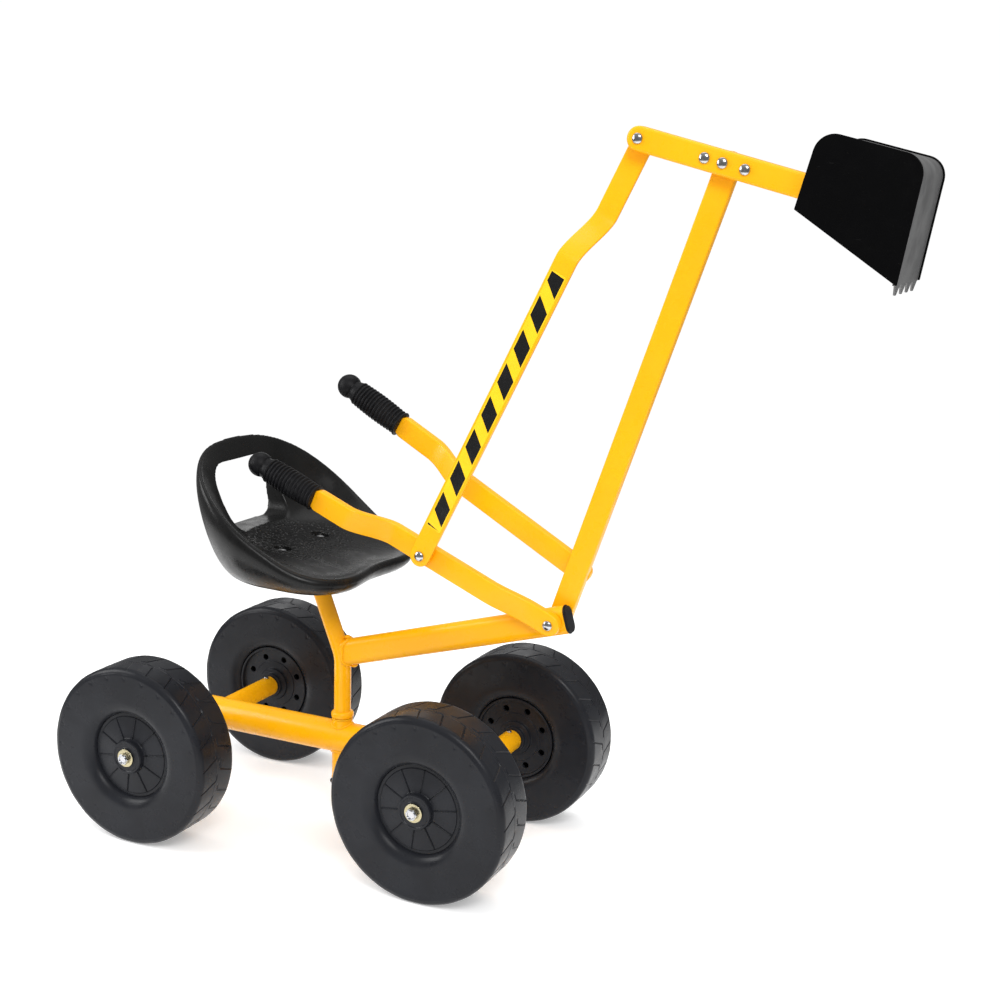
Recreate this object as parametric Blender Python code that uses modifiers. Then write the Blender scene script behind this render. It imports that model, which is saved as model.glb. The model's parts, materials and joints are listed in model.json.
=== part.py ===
"""A child's ride-on sand digger: a four-wheeled base, a swivelling seat frame and a two-lever digging arm.

Metres, +Z up, +X forwards to the bucket, +Y to the rider's left. The origin is on the ground, under
the middle of the whole digger. Angles are in degrees, counted from +X towards +Z.
"""

import math

import bmesh
import bpy
from mathutils import Euler, Matrix, Vector

# Fits
GAP = 0.0003
HAIR = 0.0001
RUN = 0.0004

# Wheels and axles
WHEEL_R = 0.115
WHEEL_W = 0.070
WHEEL_STEPS = 28
SHELL_WALL = 0.0024
HUB_R = 0.0545
HUB_RIBS = 10
HUB_HOLES = 8
AXLE_R = 0.004
AXLE_Z = WHEEL_R
AXLE_PAST_WHEEL = 0.0055
WHEELBASE = 0.395
FRONT_TRACK = 0.340
REAR_TRACK = 0.390
FRONT_X = 0.0056
REAR_X = FRONT_X - WHEELBASE
WASHER_T = 0.0014

# Base frame
TUBE_WALL = 0.0015
AXLE_TUBE_R = 0.0135
AXLE_PLUG = 0.014
SCREW_BACK = 0.009
MAIN_TUBE_R = 0.0205
MAIN_TUBE_PAST = 0.0037
SWIVEL_X = FRONT_X - 0.1985
SLEEVE_R = 0.0134
SLEEVE_BORE = 0.0119
SLEEVE_LOW = 0.062
SLEEVE_HIGH = 0.1405

# Seat post and boom
POST_R = 0.0110
POST_STEPS = 20
POST_LOW = 0.0555
POST_PLUG = 0.0145
COLLAR_R = 0.0147
COLLAR_LOW = 0.1428
COLLAR_HIGH = 0.1520
BEND_Z = 0.226
BEND_R = 0.055
SEAT_TUBE_LEAN = 21.8
SEAT_TUBE_TOP = 0.3305
BOOM_H = 0.035
BOOM_T = 0.020
BOOM_ANGLE = 16.4
BOOM_PAST_PIN = 0.0165
CAP_T = 0.0045

# Linkage: pivots in the XZ plane
BOOM_PIN = Vector((FRONT_X + 0.0970, 0.0, 0.3170))
ARM_ANGLE = 71.6
ARM_LENGTH = 0.570
LEVER_ANGLE = 157.1
LEVER_PIN = 0.176
DIPPER_ANGLE = -14.1
DIPPER_TAIL = 0.101
STOP_BACK = 0.0210
STOP_AHEAD = 0.0262
LEFT_LEVER_UP = 0.062
LEFT_LEVER_ANGLE = 150.6

# Flat-oval bars
BAR_W = 0.0275
BAR_T = 0.012
BAR_CORNER = 0.0045
BAR_WALL = 0.0014
BORE_PAST = 0.0031
DIPPER_T = 0.020
CAP_TURNS = (12, 32, 52, 72)

# Layers across the digger, as the Y of each bar's middle
SIDE_Y = BOOM_T / 2 + RUN + BAR_T / 2
LEVER_Y = -SIDE_Y
LEVER_MID_Y = -0.0260
RIGHT_GRIP_Y = -0.0580
LINK_LOW_Y = LEVER_MID_Y - BAR_T - RUN
ARM_Y = SIDE_Y
LINK_HIGH_Y = SIDE_Y
LEFT_LEVER_Y = ARM_Y + BAR_T + RUN
LEFT_GRIP_Y = 0.0580

# Bends, measured along each bar from its first pivot
RIGHT_BENDS = ((0.026, 0.084), (0.223, 0.279))
LEFT_BENDS = ((0.186, 0.251),)
LINK_BEND_TO_TAIL = (0.150, 0.092)
RIGHT_GRIP_AT = 0.3265
LEFT_GRIP_AT = 0.305

# Grips
GRIP_LENGTH = 0.103
GRIP_TUBE_R = 0.0111
GRIP_STUB = 0.086
GRIP_STEPS = 12
GRIP_RIBS = 14
GRIP_RIB_R = 0.0158
GRIP_GROOVE_R = 0.0142
GRIP_SWELL = 0.0012
FLANGE_R = 0.0168
BALL_R = 0.0155

# Fasteners
PIN_R = 0.004
PIN_HOLE_R = PIN_R + RUN
HEAD_R = 0.0062
HEAD_H = 0.0038
NUT_R = 0.0075
NUT_H = 0.0065
SEAT_BOLT_R = 0.003

# Hazard stripes
STRIPES_FROM = 0.040
STRIPES_TO = 0.388
STRIPES_T = 0.0003

# Bucket, in the dipper's own axes: X along the dipper from its pivot, Z square to it
BUCKET_BACK = 0.1010
BUCKET_TOP = 0.0620
BUCKET_HALF_W = 0.0615
BUCKET_CORNER = 0.022
SHEET = 0.002
PLATE_LIP = 0.002
BUCKET_OUTLINE = (
    (BUCKET_BACK, -0.0211),
    (BUCKET_BACK + 0.0010, BUCKET_TOP),
    (0.2140, BUCKET_TOP + 0.0010),
    (0.2250, -0.0650),
)
TEETH = 4
TOOTH = 0.0105

# Seat
SEAT_X = FRONT_X - 0.2535
SEAT_HALF_L = 0.118
SEAT_HALF_W = 0.142
SEAT_FRONT_DIP = 0.015
SEAT_SPOKES = 20
SEAT_WALL = 0.003
SEAT_PAN_Z = 0.3715
SEAT_BASE_Z = 0.3323
SEAT_BOLT_X = FRONT_X - 0.2620
SEAT_BOLT_Y = 0.045
SEAT_PLATE = (0.060, 0.112, 0.003)
POCKET_R = 0.0095
POCKET_FLOOR = 0.027

YELLOW = (0.95, 0.46, 0.012)
BLACK = (0.012, 0.012, 0.013)

ALONG_X = (0.0, math.radians(90), 0.0)
ALONG_Y = (math.radians(-90), 0.0, 0.0)
UPRIGHT = (math.radians(90), 0.0, 0.0)
ENDS = (("front", FRONT_X, FRONT_TRACK), ("rear", REAR_X, REAR_TRACK))
SIDES = (("right", -1), ("left", 1))

for thing in list(bpy.data.objects):
    bpy.data.objects.remove(thing, do_unlink=True)
PARTS = bpy.data.collections.new("sand_digger")
CUTTERS = bpy.data.collections.new("cutters")
bpy.context.scene.collection.children.link(PARTS)
bpy.context.scene.collection.children.link(CUTTERS)


# ---------------------------------------------------------------- materials
def material(name, colour, roughness, metallic=0.0):
    made = bpy.data.materials.new(name)
    made.use_nodes = True
    shader = made.node_tree.nodes["Principled BSDF"]
    shader.inputs["Base Color"].default_value = (*colour, 1.0)
    shader.inputs["Roughness"].default_value = roughness
    shader.inputs["Metallic"].default_value = metallic
    made.diffuse_color = (*colour, 1.0)
    return made


PAINT = material("yellow_paint", YELLOW, 0.35)
WHEEL_PLASTIC = material("wheel_plastic", (0.030, 0.032, 0.036), 0.50)
SEAT_PLASTIC = material("seat_plastic", BLACK, 0.38)
GRIP_RUBBER = material("grip_rubber", (0.010, 0.010, 0.011), 0.55)
ZINC = material("zinc_plate", (0.72, 0.72, 0.74), 0.25, 1.0)
BUCKET_BLACK = material("bucket_black", BLACK, 0.30)
BUCKET_GREY = material("bucket_grey", (0.10, 0.10, 0.10), 0.45)
BUSH_NYLON = material("bush_nylon", (0.05, 0.05, 0.05), 0.5)
STRIPES = material("stripe_film", (1.0, 0.86, 0.02), 0.3)


# ---------------------------------------------------------------- placing
def pivot(name, location, angle=0.0):
    """An empty on a joint's axis. Its own X points along the angle."""
    made = bpy.data.objects.new(name, None)
    made.empty_display_size = 0.02
    made.location = location
    made.rotation_euler = (0.0, -math.radians(angle), 0.0)
    PARTS.objects.link(made)
    return made


def put(thing, parent, location=(0.0, 0.0, 0.0), turn=(0.0, 0.0, 0.0)):
    """Places thing in its parent's own axes."""
    thing.parent = parent
    thing.location = location
    thing.rotation_euler = turn
    return thing


def set_down(thing, location=(0.0, 0.0, 0.0), turn=(0.0, 0.0, 0.0)):
    """Moves and turns the mesh itself, leaving the object's origin where it is."""
    thing.data.transform(Matrix.Translation(location) @ Euler(turn).to_matrix().to_4x4())
    thing.data.update()
    return thing


def finish(thing, look, sharp=35.0):
    thing.data.materials.clear()
    thing.data.materials.append(look)
    thing.data.shade_smooth()
    thing.data.set_sharp_from_angle(angle=math.radians(sharp))
    return thing


# ---------------------------------------------------------------- shapes
def new_object(name, data):
    made = bpy.data.objects.new(name, data)
    PARTS.objects.link(made)
    return made


def from_bmesh(name, work):
    bmesh.ops.recalc_face_normals(work, faces=work.faces)
    mesh = bpy.data.meshes.new(name)
    work.to_mesh(mesh)
    work.free()
    return new_object(name, mesh)


def bake(thing, outward=False):
    """Makes thing a plain mesh: applies its modifiers and welds its seams."""
    bpy.context.view_layer.update()
    graph = bpy.context.evaluated_depsgraph_get()
    mesh = bpy.data.meshes.new_from_object(thing.evaluated_get(graph))
    work = bmesh.new()
    work.from_mesh(mesh)
    bmesh.ops.remove_doubles(work, verts=work.verts, dist=1e-6)
    if outward:
        bmesh.ops.recalc_face_normals(work, faces=work.faces)
    work.to_mesh(mesh)
    work.free()
    mesh.name = thing.name
    if thing.type == "MESH":
        thing.modifiers.clear()
        thing.data = mesh
        return thing
    name = thing.name
    bpy.data.objects.remove(thing, do_unlink=True)
    return new_object(name, mesh)


def boolean(thing, other, operation):
    """Cuts other from thing, or joins it on, and keeps other as a hidden helper."""
    change = thing.modifiers.new(other.name, "BOOLEAN")
    change.operation = operation
    change.solver = "EXACT"
    change.object = other
    PARTS.objects.unlink(other)
    CUTTERS.objects.link(other)
    other.hide_render = True
    other.display_type = "WIRE"
    return bake(thing)


def cut(thing, *others):
    for other in others:
        boolean(thing, other, "DIFFERENCE")
    return thing


def join(thing, *others):
    for other in others:
        boolean(thing, other, "UNION")
    return thing


def round_clear(radius, steps):
    """The corner radius of a many-sided hole whose flats stand at the radius given."""
    return radius / math.cos(math.pi / steps)


def turned(name, profile, steps, closed=True):
    """A profile of (radius, height) points turned about Z. An open one starts and ends on the axis."""
    count = len(profile)
    links = [(i, (i + 1) % count) for i in range(count if closed else count - 1)]
    mesh = bpy.data.meshes.new(name)
    mesh.from_pydata([(r, 0.0, h) for r, h in profile], links, [])
    thing = new_object(name, mesh)
    screw = thing.modifiers.new("turn", "SCREW")
    screw.axis = "Z"
    screw.steps = steps
    screw.render_steps = steps
    screw.use_merge_vertices = True
    screw.merge_threshold = 0.00001
    return bake(thing, outward=True)


def rod(name, radius, low, high, steps=16):
    """A cylinder along Z from low to high."""
    work = bmesh.new()
    bmesh.ops.create_cone(
        work, cap_ends=True, segments=steps, radius1=radius, radius2=radius, depth=high - low
    )
    bmesh.ops.translate(work, vec=(0.0, 0.0, (low + high) / 2), verts=work.verts)
    return from_bmesh(name, work)


def pipe(name, radius, bore, low, high, steps=20):
    """A ring along Z from low to high."""
    return turned(name, [(bore, high), (radius, high), (radius, low), (bore, low)], steps)


def block(name, size, middle=(0.0, 0.0, 0.0)):
    work = bmesh.new()
    bmesh.ops.create_cube(work, size=1.0)
    bmesh.ops.scale(work, vec=size, verts=work.verts)
    bmesh.ops.translate(work, vec=middle, verts=work.verts)
    return from_bmesh(name, work)


def plate(name, outline, thickness, turn=UPRIGHT):
    """A flat outline extruded equally to both sides. By default it stands in XZ, with its depth on Y."""
    curve = bpy.data.curves.new(name, "CURVE")
    curve.dimensions = "2D"
    curve.fill_mode = "BOTH"
    curve.extrude = thickness / 2
    line = curve.splines.new("POLY")
    line.points.add(len(outline) - 1)
    for point, (x, y) in zip(line.points, outline):
        point.co = (x, y, 0.0, 1.0)
    line.use_cyclic_u = True
    return set_down(bake(new_object(name, curve), outward=True), turn=turn)


def wire(name, path, radius, sides):
    """A round bar along a path, with filled ends."""
    curve = bpy.data.curves.new(name, "CURVE")
    curve.dimensions = "3D"
    curve.bevel_depth = radius
    curve.bevel_resolution = (sides - 4) // 2
    curve.use_fill_caps = True
    line = curve.splines.new("POLY")
    line.points.add(len(path) - 1)
    for point, place in zip(line.points, path):
        point.co = (*place, 1.0)
    return bake(new_object(name, curve), outward=True)


def arc(centre, radius, start, end, steps):
    """Points on a circle, from one angle to another."""
    turns = [math.radians(start + (end - start) * i / steps) for i in range(steps + 1)]
    return [(centre[0] + radius * math.cos(a), centre[1] + radius * math.sin(a)) for a in turns]


def rounded(points, radii, steps=4):
    """An outline whose corners are arcs of the radii given, 0 for a sharp one."""
    made = []
    for i, (here, radius) in enumerate(zip(points, radii)):
        here = Vector(here)
        if radius == 0.0:
            made.append(tuple(here))
            continue
        back = (Vector(points[i - 1]) - here).normalized()
        ahead = (Vector(points[(i + 1) % len(points)]) - here).normalized()
        half = back.angle(ahead) / 2
        centre = here + (back + ahead).normalized() * (radius / math.sin(half))
        first = here + back * (radius / math.tan(half)) - centre
        last = here + ahead * (radius / math.tan(half)) - centre
        for k in range(steps + 1):
            made.append(tuple(centre + first.slerp(last, k / steps).normalized() * radius))
    return made


def oval(width, depth, corner, steps=2):
    """A rounded rectangle: width across, depth through."""
    made = []
    for x, y, start in ((1, 1, 0), (-1, 1, 90), (-1, -1, 180), (1, -1, 270)):
        inside = (x * (width / 2 - corner), y * (depth / 2 - corner))
        made += arc(inside, corner, start, start + 90, steps)
    return made


def stadium(start, end, width, steps=8):
    """A slot outline whose half-round ends are centred on start and end."""
    half = width / 2
    return arc((end, 0.0), half, -90, 90, steps) + arc((start, 0.0), half, 90, 270, steps)


def loft(name, stations):
    """A bar through (middle, width, depth, corner) stations. Its width lies across Y and across the path."""
    last = len(stations) - 1
    work = bmesh.new()
    rows = []
    for i, (middle, width, depth, corner) in enumerate(stations):
        along = (stations[min(i + 1, last)][0] - stations[max(i - 1, 0)][0]).normalized()
        through = Vector((0.0, 1.0, 0.0))
        through = (through - along * through.dot(along)).normalized()
        across = along.cross(through)
        rows.append([work.verts.new(middle + across * u + through * v) for u, v in oval(width, depth, corner)])
    size = len(rows[0])
    for a, b in zip(rows, rows[1:]):
        for k in range(size):
            work.faces.new((a[k], a[(k + 1) % size], b[(k + 1) % size], b[k]))
    work.faces.new(rows[0])
    work.faces.new(rows[-1])
    return from_bmesh(name, work)


def ease(x, start, end, low, high):
    """Goes from low to high between start and end, without a kink."""
    share = min(max((x - start) / (end - start), 0.0), 1.0)
    return low + (high - low) * share * share * (3.0 - 2.0 * share)


def cutter(x, low, high, radius=PIN_HOLE_R, z=0.0):
    """A round cutter along Y, between two Y values."""
    return set_down(rod("pin_hole", radius, -high, -low, 16), (x, 0.0, z), UPRIGHT)


# ---------------------------------------------------------------- fasteners
def domed_bolt(name, shank):
    """A round-headed bolt along +Y: its head is below Y = 0 and its shank above."""
    dome = [(r, -z * HEAD_H / HEAD_R) for r, z in arc((0.0, 0.0), HEAD_R, 90, 0, 4)]
    profile = [(0.0, -HEAD_H)] + dome[1:] + [(PIN_R, 0.0), (PIN_R, shank), (0.0, shank)]
    return set_down(turned(name, profile, 12, closed=False), turn=ALONG_Y)


def hexagon(name, low, high):
    return rod(name, NUT_R, low, high, 6)


def lock_nut(name, bore=PIN_R + GAP):
    """A hexagon nut along +Y with a round nylon collar, seated on Y = 0."""
    body = join(hexagon(name, 0.0, NUT_H * 0.72), rod("nut_collar", NUT_R * 0.80, NUT_H * 0.6, NUT_H, 12))
    body = cut(body, rod("nut_bore", bore, -0.002, NUT_H + 0.002, 12))
    return set_down(body, turn=ALONG_Y)


# ---------------------------------------------------------------- base
def chassis_frame():
    """The two axle tubes, the main tube between them and the swivel sleeve, welded into one frame."""
    frame = rod("chassis_frame", MAIN_TUBE_R, REAR_X - MAIN_TUBE_PAST, FRONT_X + MAIN_TUBE_PAST, 20)
    set_down(frame, (0.0, 0.0, AXLE_Z), ALONG_X)
    outers, hollows, screws = [], [], []
    for _, x, track in ENDS:
        end = track / 2 - WHEEL_W - GAP
        hollow = end - AXLE_PLUG
        place = (x, 0.0, AXLE_Z)
        outers.append(set_down(rod("axle_tube", AXLE_TUBE_R, -end, end, 20), place, ALONG_Y))
        hollows.append(
            set_down(rod("axle_bore", AXLE_TUBE_R - TUBE_WALL, -hollow, hollow, 16), place, ALONG_Y)
        )
        hollows.append(set_down(rod("rod_bore", AXLE_R + GAP, -end - 0.01, end + 0.01, 12), place, ALONG_Y))
        for _, side in SIDES:
            screw = rod("screw_hole", 0.0020, AXLE_Z + AXLE_R + 0.002, AXLE_Z + 0.03, 10)
            screws.append(set_down(screw, (x, side * (end - SCREW_BACK), 0.0)))
    frame = join(frame, *outers)
    closed_to = AXLE_TUBE_R + 0.004
    bore = rod("main_bore", MAIN_TUBE_R - TUBE_WALL, REAR_X + closed_to, FRONT_X - closed_to, 16)
    hollows.append(set_down(bore, (0.0, 0.0, AXLE_Z), ALONG_X))
    for low, high in ((REAR_X, REAR_X + closed_to + 0.005), (FRONT_X - closed_to - 0.005, FRONT_X)):
        hollows.append(set_down(rod("vent", 0.003, low, high, 8), (0.0, 0.0, AXLE_Z), ALONG_X))
    frame = cut(frame, *hollows)
    frame = join(frame, set_down(rod("sleeve", SLEEVE_R, SLEEVE_LOW, SLEEVE_HIGH, 20), (SWIVEL_X, 0.0, 0.0)))
    bore = rod("sleeve_bore", round_clear(SLEEVE_BORE, 20), SLEEVE_LOW - 0.01, SLEEVE_HIGH + 0.01, 20)
    return finish(cut(frame, set_down(bore, (SWIVEL_X, 0.0, 0.0)), *screws), PAINT)


def axle_screw(name, x, y):
    """The small screw that locks the axle in its tube."""
    top = AXLE_Z + AXLE_TUBE_R + GAP
    shank, head, low = 0.0017, 0.0034, AXLE_Z + AXLE_R + 0.0025
    profile = [(0.0, top + 0.0019), (head * 0.7, top + 0.0015), (head, top), (shank, top)]
    profile += [(shank, low), (0.0, low)]
    return finish(put(turned(name, profile, 10, closed=False), None, (x, y, 0.0)), ZINC)


def wheel_shell():
    """The hollow tyre, open towards its hub. +Z is its outer face."""
    half = WHEEL_W / 2
    lip = round_clear(HUB_R + GAP, WHEEL_STEPS)
    tread = round_clear(WHEEL_R, WHEEL_STEPS)
    outside = [(lip, half - 0.014), (lip, half - 0.011), (lip + 0.0035, half - 0.0035), (lip + 0.0115, half)]
    outside += [(0.1085, half)]
    outside += arc((tread - 0.0075, half - 0.0080), 0.0075, 70, 0, 2)
    deep = half - SHELL_WALL
    inside = [(lip + 0.0024, half - 0.014), (lip + 0.0060, deep - 0.0035), (lip + 0.0130, deep), (0.1080, deep)]
    inside += [(tread - SHELL_WALL, half - 0.0095)]
    profile = outside + [(r, -z) for r, z in reversed(outside)]
    profile += [(r, -z) for r, z in inside] + [(r, z) for r, z in reversed(inside)]
    return set_down(turned("wheel_shell", profile, WHEEL_STEPS), turn=(0.0, 0.0, math.pi / WHEEL_STEPS))


def hub_outer():
    """The ribbed hub on the wheel's outer side, with the tube that runs on the axle."""
    face = WHEEL_W / 2
    bore = AXLE_R + RUN
    floor = face - 0.0115
    profile = [(bore, face - 0.0005), (0.0190, face - 0.0005), (0.0213, face - 0.0025), (0.0213, floor)]
    profile += [(HUB_R, floor), (HUB_R, floor - 0.003)]
    profile += [(0.0110, floor - 0.003), (0.0110, -0.0175), (bore, -0.0175)]
    ribs = []
    length = HUB_R - 0.0215
    for i in range(HUB_RIBS):
        rib = block("hub_rib", (length, 0.0016, 0.0040), (0.0200 + length / 2, 0.0, floor - 0.0008))
        ribs.append(set_down(rib, turn=(0.0, 0.0, math.tau * (i + 0.25) / HUB_RIBS)))
    return join(turned("hub_outer", profile, 16), *ribs)


def hub_inner():
    """The disc on the wheel's inner side, with its ring of holes and stepped boss."""
    face = -WHEEL_W / 2
    bore = AXLE_R + RUN
    floor = face + 0.0125
    profile = [(bore, floor + 0.0040), (HUB_R, floor + 0.0040), (HUB_R, floor - 0.0060)]
    profile += [(HUB_R - 0.0030, floor - 0.0060), (HUB_R - 0.0030, floor), (0.0225, floor)]
    profile += [(0.0225, floor - 0.0055), (0.0165, floor - 0.0055), (0.0165, face + GAP), (bore, face + GAP)]
    holes = []
    for i in range(HUB_HOLES):
        turn = math.tau * (i + 0.5) / HUB_HOLES
        place = (0.0400 * math.cos(turn), 0.0400 * math.sin(turn), 0.0)
        holes.append(set_down(rod("hub_hole", 0.0040, floor - 0.01, floor + 0.01, 6), place))
    return cut(turned("hub_inner", profile, 16), *holes)


def wheels():
    """Four wheels, each on its own pivot, and the washers and nuts that hold them on their axles."""
    shapes = [finish(shape(), WHEEL_PLASTIC) for shape in (wheel_shell, hub_outer, hub_inner)]
    washer = finish(pipe("axle_washer", 0.0115, AXLE_R + GAP, 0.0, WASHER_T, 18), ZINC)
    nut = finish(lock_nut("axle_nut"), ZINC)
    for end, x, track in ENDS:
        for side, sign in SIDES:
            spin = pivot(f"spin_{end}_{side}", (x, sign * (track - WHEEL_W) / 2, AXLE_Z))
            outward = (math.radians(-90 * sign), 0.0, 0.0)
            for name, shape in zip(("wheel", "hub_outer", "hub_inner"), shapes):
                put(new_object(f"{name}_{end}_{side}", shape.data), spin, turn=outward)
            face = sign * (track / 2 + GAP)
            put(new_object(f"axle_washer_{end}_{side}", washer.data), None, (x, face, AXLE_Z), outward)
            face = sign * (track / 2 + WASHER_T + 2 * GAP)
            flip = (0.0, 0.0, math.pi if sign < 0 else 0.0)
            put(new_object(f"axle_nut_{end}_{side}", nut.data), None, (x, face, AXLE_Z), flip)
    for pattern in (*shapes, washer, nut):
        bpy.data.objects.remove(pattern, do_unlink=True)


def base():
    chassis_frame()
    for end, x, track in ENDS:
        half = track / 2 + AXLE_PAST_WHEEL
        axle = set_down(rod(f"{end}_axle", AXLE_R - HAIR, -half, half, 12), turn=ALONG_Y)
        finish(put(axle, None, (x, 0.0, AXLE_Z)), ZINC)
        for side, sign in SIDES:
            axle_screw(f"axle_screw_{end}_{side}", x, sign * (track / 2 - WHEEL_W - GAP - SCREW_BACK))
    wheels()


# ---------------------------------------------------------------- seat frame, measured from the swivel axis
BOOM_TURN = (0.0, -math.radians(BOOM_ANGLE), 0.0)
BOOM_RUN = BOOM_PIN.x - SWIVEL_X
BOOM_ROOT = (0.0, 0.0, BOOM_PIN.z - BOOM_RUN * math.tan(math.radians(BOOM_ANGLE)))
BOOM_END = BOOM_RUN / math.cos(math.radians(BOOM_ANGLE)) + BOOM_PAST_PIN
BOLT_X = SEAT_BOLT_X - SWIVEL_X
SEAT_MIDDLE_X = SEAT_X - SWIVEL_X


def post_path(low, top):
    """The seat post's middle line: upright through the sleeve, then leaning back to the seat."""
    lean = math.radians(SEAT_TUBE_LEAN)
    start = BEND_Z - BEND_R * math.tan(lean / 2)
    path = [Vector((0.0, 0.0, low))]
    for i in range(6):
        turn = lean * i / 5
        path.append(Vector((BEND_R * (math.cos(turn) - 1.0), 0.0, start + BEND_R * math.sin(turn))))
    rise = top - 0.005 - path[-1].z
    path.append(path[-1] + Vector((-math.tan(lean) * rise, 0.0, rise)))
    path.append(path[-1] + Vector((0.0, 0.0, 0.005)))
    return path


def boom_tube(name, start, end, height, thickness):
    """A straight tube of flat-oval section between two distances along the boom's middle line."""
    outline = [(-u, v) for u, v in oval(height, thickness, thickness / 2 - HAIR, 4)]
    body = set_down(plate(name, outline, end - start, turn=(0.0, 0.0, 0.0)), turn=ALONG_X)
    set_down(body, ((start + end) / 2, 0.0, 0.0))
    return set_down(body, BOOM_ROOT, BOOM_TURN)


def upper_frame(swivel):
    """The post, boom, collar and seat plate, welded into the frame that swivels."""
    body = wire("upper_frame", post_path(POST_LOW, SEAT_TUBE_TOP), POST_R, POST_STEPS)
    collar = rod("collar", COLLAR_R, COLLAR_LOW, COLLAR_HIGH, 20)
    boom = boom_tube("boom", 0.0, BOOM_END, BOOM_H, BOOM_T)
    seat_plate = block("seat_plate", SEAT_PLATE, (BOLT_X + 0.006, 0.0, SEAT_TUBE_TOP))
    body = join(body, collar, boom, seat_plate)
    plug_top = POST_LOW + POST_PLUG
    bore = wire("post_bore", post_path(plug_top, SEAT_TUBE_TOP - 0.003), POST_R - TUBE_WALL, 12)
    plug = rod("plug_bore", PIN_R + GAP, POST_LOW - 0.01, plug_top + 0.01, 12)
    wall = 2 * TUBE_WALL
    inside = boom_tube("boom_bore", POST_R + 0.004, BOOM_END + 0.01, BOOM_H - wall, BOOM_T - wall)
    tools = [bore, plug, inside, cutter(BOOM_RUN, -0.03, 0.03, z=BOOM_PIN.z)]
    for _, sign in SIDES:
        bolt = rod("seat_bolt_hole", SEAT_BOLT_R + GAP, SEAT_TUBE_TOP - 0.01, SEAT_TUBE_TOP + 0.01, 12)
        tools.append(set_down(bolt, (BOLT_X, sign * SEAT_BOLT_Y, 0.0)))
    return finish(put(cut(body, *tools), swivel), PAINT)


def swivel_hardware(swivel):
    """The two flanged bushes in the sleeve, and the bolt and washer that keep the post in it."""
    outer, inner = SLEEVE_BORE - HAIR, round_clear(POST_R + HAIR, POST_STEPS)
    flange = SLEEVE_R + RUN
    low, high = SLEEVE_HIGH + GAP, COLLAR_LOW - GAP
    profile = [(inner, high), (flange, high), (flange, low), (outer, low), (outer, low - 0.016)]
    top = turned("swivel_bush_top", profile + [(inner, low - 0.016)], POST_STEPS)
    low = SLEEVE_LOW - GAP
    profile = [(inner, low + 0.016), (outer, low + 0.016), (outer, low), (flange, low)]
    profile += [(flange, low - 0.0020), (inner, low - 0.0020)]
    bottom = turned("swivel_bush_bottom", profile, POST_STEPS)
    for bush in (top, bottom):
        finish(put(bush, None, (SWIVEL_X, 0.0, 0.0)), BUSH_NYLON)
    face = POST_LOW - GAP
    washer = pipe("swivel_washer", 0.0160, PIN_R + GAP, face - 0.0020, face, 20)
    finish(put(washer, swivel), ZINC)
    face -= 0.0020 + GAP
    bolt = hexagon("swivel_bolt", face - 0.0055, face)
    bolt = join(bolt, rod("bolt_shank", PIN_R, face - 0.002, POST_LOW + POST_PLUG - 0.003, 12))
    finish(put(bolt, swivel), ZINC)


def boom_end_cap(swivel):
    """The black plug in the boom's open front end."""
    start = BOOM_END + GAP
    cap = boom_tube("boom_end_cap", start, start + CAP_T, BOOM_H + 0.001, BOOM_T + GAP / 2)
    slack = 2 * (TUBE_WALL + GAP)
    stem = boom_tube("cap_stem", start - 0.009, start + 0.002, BOOM_H - slack, BOOM_T - slack)
    return finish(put(join(cap, stem), swivel), SEAT_PLASTIC)


# ---------------------------------------------------------------- seat
def seat_rim(turn):
    """The seat's rim at an angle seen from above, 0 at its front: x from its middle, y and height."""
    c, s = math.cos(turn), math.sin(turn)
    squareness = (0.55, 0.62) if c > 0.0 else (1.05, 0.80)
    x = SEAT_HALF_L * math.copysign(abs(c) ** squareness[0], c)
    back = (SEAT_HALF_L - x) / (2 * SEAT_HALF_L)
    y = SEAT_HALF_W * math.copysign(abs(s) ** squareness[1], s) * (1.0 + 0.29 * (back - 0.5))
    x -= SEAT_FRONT_DIP * math.exp(-((y / 0.050) ** 2)) * max(c, 0.0)
    return x, y, 0.3526 - 0.0055 * back + 0.2575 * back**2 - 0.1062 * back**3


# Rings of the cage from the middle of the pan out over the rim and back under it: share of the rim's
# reach, share of the height from the floor up to the rim, extra height
SEAT_TOP = ((0.30, 0.00, 0.000), (0.58, 0.06, 0.001), (0.81, 0.42, 0.002), (0.93, 0.88, 0.002), (0.99, 1.03, 0.002))
SEAT_UNDER = (
    (1.022, 0.93, -0.004),
    (1.00, 0.74, -0.007),
    (0.90, 0.37, -0.008),
    (0.71, 0.01, -0.006),
    (0.40, 0.00, 0.000),
)
CAVITY_TOP = ((0.30, 0.00, -0.003), (0.58, 0.06, -0.003), (0.79, 0.36, -0.003), (0.88, 0.66, -0.004))
CAVITY_UNDER = ((0.88, 0.54, -0.004), (0.80, 0.30, -0.003), (0.62, 0.02, 0.000), (0.36, 0.00, 0.004))


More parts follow.
